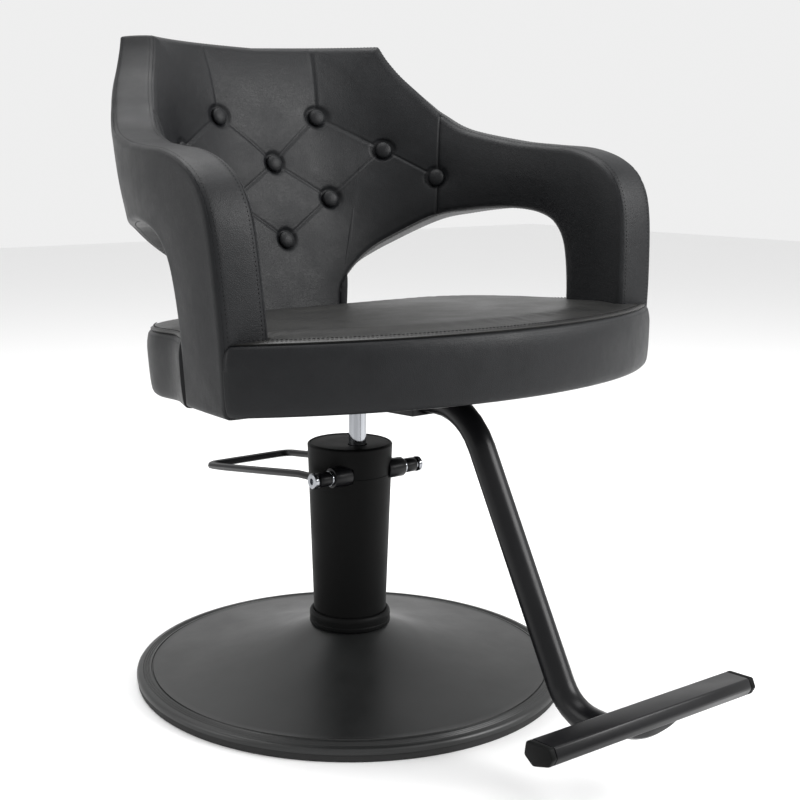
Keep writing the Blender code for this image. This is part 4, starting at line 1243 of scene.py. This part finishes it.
# ---- floor base, shroud and lift ----
@dataclass
class FloorBase:
    """The spun dome with its grooved rim, the shroud, its collar and cap, and the lifting rod."""

    wall: float = 0.003
    groove_radii: tuple[float, ...] = (0.2785, 0.2835, 0.2868, 0.2901)
    groove_depth: float = 0.0009
    groove_half: float = 0.0013

    def dome_height(self, radius: float, rim: float, hub: float) -> float:
        """Height of the dome: a low cone that steepens towards the collar."""
        span = (rim - radius) / (rim - hub)
        return 0.0175 + 0.030 * span + 0.0245 * span**3.2

    def build(self) -> None:
        """Build every turned piece of the base."""
        metal = (Body.BASE, Slot.BLACK_METAL, POWDER_COAT)
        plastic = (Body.BASE, Slot.BLACK_PLASTIC, MOULDED_ABS)
        low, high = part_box("base_dome")
        rim = high.x
        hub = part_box("shroud_collar")[1].x
        foot = low.z
        outer = [(rim, foot), (rim, foot + 0.0030), (rim - 0.0006, foot + 0.0052),
                 (rim - 0.0022, foot + 0.0070), (rim - 0.0045, foot + 0.0079)]
        for radius in self.groove_radii[::-1]:
            level = self.dome_height(radius, rim, hub)
            step = self.groove_half
            deep = self.groove_depth * (1.6 if radius == self.groove_radii[0] else 1.0)
            lip = 0.0005 if deep > self.groove_depth else 0.0
            outer += [(radius + step, level), (radius + step * 0.4, level - deep),
                      (radius - step * 0.4, level - deep), (radius - step, level + lip)]
        for radius in np.linspace(0.2760, 0.110, 22):
            outer.append((float(radius), self.dome_height(float(radius), rim, hub)))
        for radius in np.linspace(0.104, 0.0532, 14):
            outer.append((float(radius), self.dome_height(float(radius), rim, hub)))
        inner = [(r, self.dome_height(r, rim, hub) - self.wall)
                 for r in (0.0532, 0.066, 0.085, 0.12, 0.18, 0.268)]
        inner += [(rim - self.wall, foot + 0.0030), (rim - self.wall, foot)]
        dome = lathe("spun_dome", outer + inner, steps=144, angle=38.0)
        mount(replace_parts(dome, "base_dome"), *metal)

        low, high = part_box("floor_ring")
        tread = [(high.x, high.z), (high.x, low.z + 0.002), (high.x - 0.001, low.z + 0.0004),
                 (high.x - 0.003, low.z), (0.2875, low.z), (0.2865, low.z + 0.0012),
                 (0.2850, low.z + 0.0012), (0.2840, low.z),
                 (0.2832, low.z + 0.0005), (0.2830, low.z + 0.0015), (0.2830, high.z)]
        ring = lathe("rubber_tread_ring", tread, steps=120)
        mount(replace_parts(ring, "floor_ring"), Body.BASE, Slot.RUBBER, NITRILE)
        self.build_shroud(plastic)
        self.build_lift()

    def build_shroud(self, plastic: tuple[Body, Slot, Finish]) -> None:
        """Build the shroud with its windows, the collar at its foot and the cap at its top."""
        low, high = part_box("shroud")
        top_r = high.x
        foot_r = 0.0500
        wall = 0.0025

        def radius(z: float) -> float:
            return foot_r + (top_r - foot_r) * (z - low.z) / (high.z - low.z)

        joint = 0.2915
        profile = [(radius(low.z) - wall, low.z), (radius(low.z), low.z)]
        profile += [(radius(z), z) for z in (0.14, 0.20, 0.25, joint - 0.0007)]
        profile += [(radius(joint) - 0.0005, joint - 0.0003), (radius(joint) - 0.0005, joint + 0.0003)]
        profile += [(radius(z), z) for z in (joint + 0.0007, 0.31, high.z - 0.0042)]
        for turn in (15, 35, 55, 75):
            angle = math.radians(turn)
            profile.append((top_r - 0.0032 * (1 - math.cos(angle)),
                            high.z - 0.0035 + 0.0030 * math.sin(angle)))
        profile += [(top_r - 0.0033, high.z), (top_r - 0.0036, high.z - 0.0036)]
        shroud = lathe("column_shroud", profile, steps=112)
        for label, side in (("left", 1), ("right", -1)):
            lug_low, lug_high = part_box(f"lug_{label}")
            middle = (lug_low + lug_high) / 2
            bpy.ops.object.select_all(action="DESELECT")
            bpy.ops.mesh.primitive_cylinder_add(
                vertices=48, radius=(lug_high.z - lug_low.z) / 2 + 0.0005, depth=0.040,
                location=(side * 0.0500, middle.y, middle.z), rotation=(0, math.radians(90), 0))
            cut_away(shroud, bpy.context.object)
        settle(shroud, "column_shroud", 32.0)
        mount(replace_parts(shroud, "shroud"), *plastic)

        low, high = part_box("shroud_collar")
        big = high.x
        inside = 0.0510
        profile = [(inside, low.z), (big - 0.0015, low.z), (big - 0.0005, low.z + 0.0010),
                   (big, low.z + 0.0030), (big, low.z + 0.0060), (big - 0.0006, low.z + 0.0068),
                   (big - 0.0006, low.z + 0.0078)]
        for turn in range(0, 91, 15):
            angle = math.radians(turn)
            profile.append((big - 0.0042 + 0.0042 * math.cos(angle),
                            high.z - 0.0065 + 0.0065 * math.sin(angle)))
        profile += [(inside + 0.0004, high.z - 0.0004), (inside, high.z - 0.0016)]
        mount(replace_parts(lathe("collar_trim", profile, steps=112), "shroud_collar"), *plastic)

        low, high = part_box("top_cap")
        rod_low, rod_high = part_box("piston_rod")
        edge = high.x
        rod = ((rod_low + rod_high) / 2).y
        profile = [(0.004, low.z), (edge - 0.0006, low.z), (edge, low.z + 0.0006), (edge, high.z - 0.0012)]
        profile += [(edge - 0.0005, high.z - 0.0003), (edge - 0.0014, high.z), (0.030, high.z),
                    (0.004, high.z)]
        cap = lathe("column_cap", profile, steps=112, closed=False)
        bpy.ops.object.select_all(action="DESELECT")
        bpy.ops.mesh.primitive_cylinder_add(vertices=64, radius=rod_high.x + 0.0016, depth=0.03,
                                            location=(0, rod, high.z))
        cut_away(cap, bpy.context.object)
        settle(cap, "column_cap", 30.0)
        mount(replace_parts(cap, "top_cap"), *plastic)

    def build_lift(self) -> None:
        """Build the plated lifting rod."""
        low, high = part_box("piston_rod")
        axis = (0.0, (low.y + high.y) / 2)
        radius = high.x
        profile = [(radius - 0.0008, low.z), (radius, low.z + 0.0008), (radius, 0.20),
                   (radius, high.z - 0.0008), (radius - 0.0008, high.z)]
        rod = lathe("plated_rod", profile, axis, steps=72, closed=False)
        mount(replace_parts(rod, "piston_rod"), Body.LIFT, Slot.CHROME, CHROME_PLATE)


@dataclass
class Metalwork:
    """Cast, bent and turned pieces whose nodes have the right shape: each has its edges eased."""

    painted: tuple[tuple[str, str, Body, float], ...] = (
        ("lug_left", "pivot_lug_left", Body.BASE, 0.8 * MM),
        ("lug_right", "pivot_lug_right", Body.BASE, 0.8 * MM),
        ("pedal_bar", "pedal_rod", Body.PEDAL, 0.0),
        ("pedal_block_left", "pedal_boss_left", Body.PEDAL, 0.8 * MM),
        ("pedal_block_right", "pedal_boss_right", Body.PEDAL, 0.8 * MM),
        ("swivel_hub", "hub_casting", Body.SEAT, 0.8 * MM),
        ("footrest_socket", "footrest_clamp", Body.SEAT, 1.5 * MM),
        ("footrest_stem", "footrest_tube", Body.SEAT, 0.0),
        ("footrest_saddle", "footrest_cradle", Body.SEAT, 1.2 * MM),
        ("footrest_bar", "footrest_rail", Body.SEAT, 0.3 * MM))
    plated: tuple[tuple[str, str, Body, float], ...] = (
        ("pedal_spacer_left", "plated_spacer_left", Body.PEDAL, 0.4 * MM),
        ("pedal_spacer_right", "plated_spacer_right", Body.PEDAL, 0.4 * MM),
        ("pedal_bolt_left", "plated_bolt_left", Body.PEDAL, 0.3 * MM),
        ("pedal_bolt_right", "plated_bolt_right", Body.PEDAL, 0.3 * MM),
        ("seat_bolt_1", "plate_bolt_1", Body.SEAT, 0.4 * MM),
        ("seat_bolt_2", "plate_bolt_2", Body.SEAT, 0.4 * MM),
        ("seat_bolt_3", "plate_bolt_3", Body.SEAT, 0.4 * MM),
        ("seat_bolt_4", "plate_bolt_4", Body.SEAT, 0.4 * MM))

    def build(self) -> None:
        """Work every piece over."""
        for node, name, body, bevel in self.painted:
            mount(worked(node, name, bevel), body, Slot.BLACK_METAL, TUBE_ENAMEL)
        for node, name, body, bevel in self.plated:
            mount(worked(node, name, bevel), body, Slot.CHROME, CHROME_PLATE)
        for label in ("left", "right"):
            mount(worked(f"footrest_cap_{label}", f"rail_end_plug_{label}", 1.4 * MM), Body.SEAT,
                  Slot.BLACK_PLASTIC, MOULDED_ABS)
        for node, name, bevel in (("seat_plate", "seat_mounting_plate", 0.6 * MM),
                                  ("footrest_screw", "footrest_cap_screw", 0.3 * MM)):
            mount(worked(node, name, bevel), Body.SEAT, Slot.DARK_STEEL, OILED_STEEL)
        self.build_spring()

    @staticmethod
    def build_spring() -> None:
        """Build the plunger's return spring with a mesh of its own; the real spring shortens as the plunger
        goes down, but this piece keeps its length.
        """
        spring = worked("plunger_spring", "return_spring", 0.0)
        mount(spring, Body.PLUNGER, Slot.CHROME, CHROME_PLATE)
        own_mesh(spring)


def dress_nodes() -> None:
    """Give every node that is still shown the finish of its slot in the record."""
    slots = {row["node"]: Slot(row["material_slot"]) for row in frame["record"]["subparts"]}
    for name, node in frame["nodes"].items():
        if not node.hide_render:
            WARDROBE.dress(node, Wardrobe.BY_SLOT[slots[name]])


# ---- studio ----
@dataclass
class Studio:
    """Pale floor, soft lights and the camera."""

    camera_place: tuple[float, float, float] = (-1.0845, -1.4828, 0.7356)
    camera_pitch: float = 90 - 10.586
    camera_turn: float = -36.18
    lens: float = 61.22
    shift: tuple[float, float] = (0.0627, -0.0009)
    floor_size: float = 16.0
    floor_colour: str = "f2f2f2"
    world_strength: float = 0.86
    lamps: tuple[tuple[str, tuple[float, ...], tuple[float, ...], float, float], ...] = (
        ("key", (1.5, -2.0, 1.9), (0.0, 0.0, 0.65), 1.5, 82.0),
        ("side", (-2.4, 0.9, 1.3), (0.0, 0.0, 0.5), 1.2, 16.0),
        ("top", (0.0, 0.5, 3.0), (0.0, -0.1, 0.5), 2.2, 66.0))

    def build(self) -> None:
        """Build the floor, the world, the lights and the camera."""
        bpy.ops.object.select_all(action="DESELECT")
        bpy.ops.mesh.primitive_plane_add(size=self.floor_size)
        floor = bpy.context.object
        floor.name = "pale_floor"
        paint = bpy.data.materials.new("pale_floor_paint")
        paint.use_nodes = True
        shader = paint.node_tree.nodes["Principled BSDF"]
        shader.inputs["Base Color"].default_value = linear(self.floor_colour)
        shader.inputs["Roughness"].default_value = 0.7
        floor.data.materials.append(paint)

        world = bpy.data.worlds.new("studio")
        world.use_nodes = True
        world.node_tree.nodes["Background"].inputs["Color"].default_value = (1.0, 1.0, 1.0, 1.0)
        world.node_tree.nodes["Background"].inputs["Strength"].default_value = self.world_strength
        bpy.context.scene.world = world
        bpy.context.scene.view_settings.view_transform = "Standard"

        for name, place, aim, size, power in self.lamps:
            self.light(name, place, aim, size, power)

        lens = bpy.data.cameras.new("camera")
        lens.lens = self.lens
        lens.sensor_width = 36.0
        lens.shift_x, lens.shift_y = self.shift
        camera = bpy.data.objects.new("camera", lens)
        camera.location = self.camera_place
        camera.rotation_euler = (math.radians(self.camera_pitch), 0.0, math.radians(self.camera_turn))
        bpy.context.scene.collection.objects.link(camera)
        bpy.context.scene.camera = camera

    @staticmethod
    def light(name: str, place: Sequence[float], aim: Sequence[float], size: float, power: float) -> None:
        """Add a square soft box that faces a point."""
        data = bpy.data.lights.new(name, "AREA")
        data.size = size
        data.energy = power
        lamp = bpy.data.objects.new(name, data)
        lamp.location = place
        lamp.rotation_euler = (Vector(aim) - Vector(place)).to_track_quat("-Z", "Y").to_euler()
        bpy.context.scene.collection.objects.link(lamp)


def main() -> None:
    """Build the chair's looks in order and report each piece."""
    logging.basicConfig(level=logging.INFO, format="%(message)s")
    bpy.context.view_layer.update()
    Studio().build()
    form = ShellForm()
    buttons = Buttons(form)
    tufting = Tufting(form, buttons.places())
    Upholstery(form, tufting).build()
    buttons.build()
    Seat(form).build()
    FloorBase().build()
    Metalwork().build()
    dress_nodes()
    LOG.info("sizes written")


if __name__ == "__main__":
    main()
